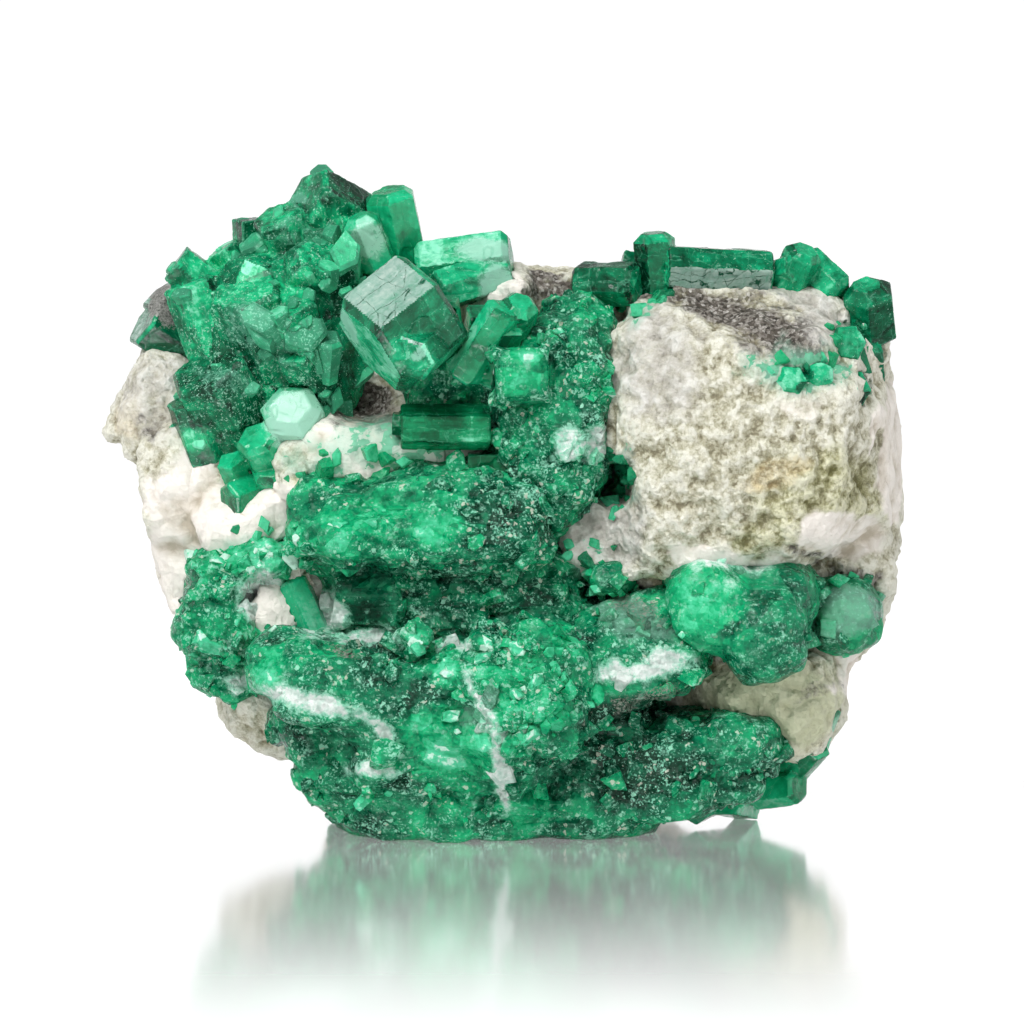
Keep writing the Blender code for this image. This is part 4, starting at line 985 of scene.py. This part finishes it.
for node, build in crystals.items():
    skin, seats = crystalSkin(node, build)
    flatSides = len(skin.data.polygons)
    numbers = np.full(len(seats), 0.5)
    if "sprouts" in build:
        seats, numbers = sprout(skin, build["sprouts"])
    markCrystal(skin, node, build, flatSides, seats, numbers)
    skin.data.set_sharp_from_angle(angle=math.radians(28))
    slotName = "clear_emerald" if build["paint"] in (gemPaint, deepPaint) else "emerald_crystal"
    dress(skin, build["paint"], slotName, node, smooth=True)

print("breaking the host rock")

# Host rock
rockSprouts = {
    "seed": 21, "count": 190, "sizes": (0.5, 1.4), "sink": 0.65, "long": 1.2,
    "lean": 0.5, "pull": (0, -0.2, 0.2), "square": 0.4, "spread": 0.0,
    "patches": (
        (-23.0, 29.0, 4.0, 1.6, 0, 0.6), (-18.5, 35.6, 3.4, 2.4, 0, 1.0), (-11.0, 37.0, 8.0, 2.0, 0, 0.8),
        (29.0, 46.0, 4.6, 1.6, 0, 0.6), (34.5, 49.0, 2.0, 2.6, 0, 0.6),
        (8.0, 27.5, 3.0, 2.0, 0, 0.4), (13.5, 53.0, 2.6, 1.0, 0, 0.5), (10.9, 34.4, 2.6, 2.6, 0, 1.6),
    ),
}
rock = {
    "grid": 0.36, "soften": 5, "reach": 1.35, "swell": 0.05, "block": 3.4, "depth": 0.42, "bump": 0.8,
    "limit": 130000,  # most triangles before the small crystals
}
rockZones = {
    "spar": (
        (-31.5, 29.0, 4.6, 9.5, 0, 1.0), (-25.5, 30.6, 6.2, 4.2, 0, 1.1), (-22.0, 21.2, 6.6, 4.0, 0, 1.0),
        (-10.5, 38.4, 11.5, 4.0, 2, 1.0), (-0.8, 54.6, 2.6, 2.8, 0, 1.0), (38.8, 37.5, 1.8, 7.5, 0, 1.0),
        (33.5, 29.0, 5.0, 2.6, 0, 0.8), (29.0, 42.6, 4.0, 2.4, 0, 0.35), (22.6, 26.4, 6.4, 1.3, -4, 1.0),
        (34.0, 15.2, 1.6, 3.0, 0, 0.9),
    ),
    "quartz": (
        (26.5, 12.0, 7.4, 5.0, 0, 1.5), (29.5, 53.0, 4.6, 2.0, -20, 0.9),
        (15.2, 46.0, 5.8, 7.4, 0, 0.8), (9.0, 29.4, 6.0, 5.4, 0, 1.0), (31.5, 50.2, 3.6, 2.2, 0, 0.9),
        (-35.0, 43.0, 4.5, 5.0, 0, 0.7), (-12.0, 40.6, 4.0, 2.0, 0, 0.6),
    ),
    "schist": (
        # the zone at -9.0, 39.8 is painted shade over the middle spar, drawn as grey schist
        (24.6, 50.3, 10.0, 1.8, -24, 1.0), (26.5, 49.4, 8.5, 3.8, -24, 0.65), (-9.0, 39.8, 8.0, 1.6, 0, 0.75),
        (17.0, 53.4, 5.4, 1.3, 0, 0.8), (4.2, 53.4, 3.8, 2.2, 0, 0.9),
        (9.8, 34.7, 3.8, 2.6, 0, 1.2), (-14.4, 42.4, 4.2, 2.6, 0, 1.0), (35.0, 24.6, 3.2, 1.6, -10, 0.8),
        (31.6, 13.6, 3.0, 1.0, 16, 0.5), (12.6, 22.8, 6.2, 1.6, -20, 0.8), (16.0, 12.6, 3.0, 1.0, 20, 0.8),
        (30.0, 27.0, 3.4, 0.8, -25, 0.7), (-36.0, 39.6, 1.6, 1.0, -60, 0.6),
    ),
    "ochre": (
        (27.0, 35.2, 5.0, 1.6, 25, 0.9), (15.8, 24.0, 2.4, 1.4, -20, 0.8), (-37.4, 41.0, 1.8, 3.0, 10, 0.8),
        (30.6, 10.4, 2.0, 3.0, 0, 0.5), (-20.4, 33.8, 1.6, 1.0, 0, 0.8), (30.6, 53.6, 1.6, 1.2, 0, 0.6),
    ),
    "olive": (
        (31.5, 32.6, 8.4, 6.2, 0, 0.8), (26.0, 12.0, 8.4, 6.0, 0, 1.4), (25.0, 29.0, 3.0, 2.0, 0, 0.8),
    ),
    "green": (
        (13.0, 50.6, 2.0, 2.4, 0, 0.7), (28.8, 45.6, 6.4, 3.0, 0, 0.9), (-24.5, 26.6, 5.0, 3.0, -10, 0.9),
        (-12.0, 38.0, 10.0, 3.0, 0, 0.9), (-18.5, 35.6, 4.0, 2.0, 0, 0.9),
        (-0.8, 53.0, 2.6, 2.0, 0, 0.5), (23.0, 25.8, 6.0, 1.4, 0, 0.5), (34.0, 48.0, 3.0, 3.0, 0, 0.5),
        (7.0, 27.0, 4.0, 3.0, 0, 0.4), (10.6, 34.4, 3.0, 3.0, 0, 0.9),
    ),
    "ownTone": 0.0,
}
rockMasks = ("spar", "quartz", "schist", "ochre", "olive", "green")
skin = skinOf("matrix_rock_stone", "matrix_rock", rock["grid"])
mesh = skin.data
points = relaxed(readPoints(mesh), readEdges(mesh), rock["soften"])
everyOther = treeOf([name for name in nodes if name != "matrix_rock"])
points = grownAgainst(points, everyOther, rock["reach"])
writePoints(mesh, points)
normals = readNormals(mesh)
spar = zoneMask(points, rockZones["spar"])
coarse = blocks(points, rock["block"], 3, 2.2)
fine = blocks(points, rock["block"] * 0.4, 9, 3.0)
tiny = chips(points, 0.9, 15)
height = rock["swell"] + rock["depth"] * rock["block"] * (1 - 0.55 * spar) * (coarse - 0.2 + 0.28 * fine)
height += (0.14 - 0.12 * spar) * (tiny + cloud(points, 0.9, 21, 2))
points = points + normals * (height * np.clip(points[:, 2] / 0.8, 0, 1))[:, None]
points[:, 2] = np.maximum(points[:, 2], 0.0)
writePoints(mesh, points)
thin = skin.modifiers.new("thin", "DECIMATE")
thin.ratio = min(1.0, rock["limit"] / (2 * len(mesh.polygons)))
bake(skin)
seats, numbers = sprout(skin, rockSprouts)
markStone(skin, rockZones, seats, numbers, rockMasks)
storeNumber(skin.data, "emerald", np.where(numbers == 0.5, 0.0, 0.2 + 0.8 * numbers))  # 0.5: plain rock
dress(skin, hostRock("host rock", rock["bump"]), "matrix_rock", "matrix_rock")

print("laying the floor")

# white and matt far off, a soft mirror near the stone; where the mirror fades is in millimetres
table = {
    "white": 0.22, "glow": 0.95, "mirror": 0.82, "blur": 0.13,
    "front": (-124.0, -30.0), "behind": (60.0, 20.0),
}
floorMesh = bpy.data.meshes.new("floor")
floorMesh.from_pydata([(-3, -2, 0), (3, -2, 0), (3, 6, 0), (-3, 6, 0)], [], [(0, 1, 2, 3)])
floor = bpy.data.objects.new("floor", floorMesh)
scene.collection.objects.link(floor)
paint = Paint(bpy.data.materials.new("white floor"))
spot = paint.place()
depth = paint.node("ShaderNodeSeparateXYZ", None, {"Vector": spot}, "Y")
shade = paint.noise(spot, 0.01, 2.0) * 0.04 + table["white"]
floorColour = paint.node("ShaderNodeCombineColor", None, {"Red": shade, "Green": shade, "Blue": shade})
matt = paint.node("ShaderNodeBsdfPrincipled", None, {
    "Base Color": floorColour, "Roughness": 0.9, "Specular IOR Level": 0.0,
    "Emission Color": (1.0, 1.0, 1.0), "Emission Strength": table["glow"],
})
gloss = paint.node("ShaderNodeBsdfAnisotropic", None, {
    "Color": (0.98, 0.98, 0.98), "Roughness": table["blur"],
})
share = paint.smooth(depth, *table["front"]) * table["mirror"] * paint.smooth(depth, *table["behind"])
surface = paint.node("ShaderNodeMixShader", None, {0: share, 1: matt, 2: gloss})
floorMesh.materials.append(paint.finish(surface))

print("lighting the room")

# a dim room with bright white walls low down, white where the camera looks straight at it
room = {"soft": 0.34, "walls": 1.04, "ceiling": 0.34, "wallTop": (0.42, 0.30), "seen": 1.05}
world = bpy.data.worlds.new("studio")
paint = Paint(world)
rays = paint.node("ShaderNodeLightPath", output="Is Camera Ray")
softRays = rays.also("Is Diffuse Ray")
way = paint.node("ShaderNodeTexCoord", output="Generated")
rise = paint.node("ShaderNodeSeparateXYZ", None, {"Vector": way}, "Z")
glossy = paint.smooth(rise, *room["wallTop"]) * (room["walls"] - room["ceiling"]) + room["ceiling"]
strength = softRays * room["soft"] + (1 - softRays) * glossy
strength = rays * room["seen"] + (1 - rays) * strength
walls = paint.node("ShaderNodeBackground", None, {"Color": (1.0, 1.0, 1.0), "Strength": strength})
paint.finish(walls, kind="ShaderNodeOutputWorld")
scene.world = world

lamps = {
    "key": {"at": (-0.16, -0.34, 0.46), "width": 0.32, "height": 0.24, "power": 3.1},
    "fill": {"at": (0.45, -0.25, 0.20), "width": 0.20, "height": 0.30, "power": 0.5},
}
middle = Vector((0.0, 0.0, 0.033))
for name, lamp in lamps.items():
    light = bpy.data.lights.new(name, "AREA")
    light.shape = "RECTANGLE"
    light.size, light.size_y = lamp["width"], lamp["height"]
    light.energy = lamp["power"]
    softbox = bpy.data.objects.new(name, light)
    softbox.location = lamp["at"]
    softbox.rotation_euler = (middle - softbox.location).to_track_quat("-Z", "Y").to_euler()
    scene.collection.objects.link(softbox)

print("setting the camera")

camera = bpy.data.objects.new("camera", bpy.data.cameras.new("camera"))
scene.collection.objects.link(camera)
camera.data.lens = view["lens"]
camera.data.sensor_width = 36
lookAt = Vector((view["across"] * mm, 0.0, view["up"] * mm))
slope = math.radians(view["slope"])
camera.location = lookAt + view["away"] * mm * Vector((0, -math.cos(slope), math.sin(slope)))
camera.rotation_euler = (lookAt - camera.location).to_track_quat("-Z", "Y").to_euler()
camera.data.clip_start = 0.01
scene.camera = camera
scene.view_settings.view_transform = "Standard"
scene.cycles.adaptive_threshold = 0.04  # clean areas stop early
scene.cycles.adaptive_min_samples = 12
scene.cycles.max_bounces = 7
scene.cycles.diffuse_bounces = 2
scene.cycles.glossy_bounces = 3
scene.cycles.transmission_bounces = 6
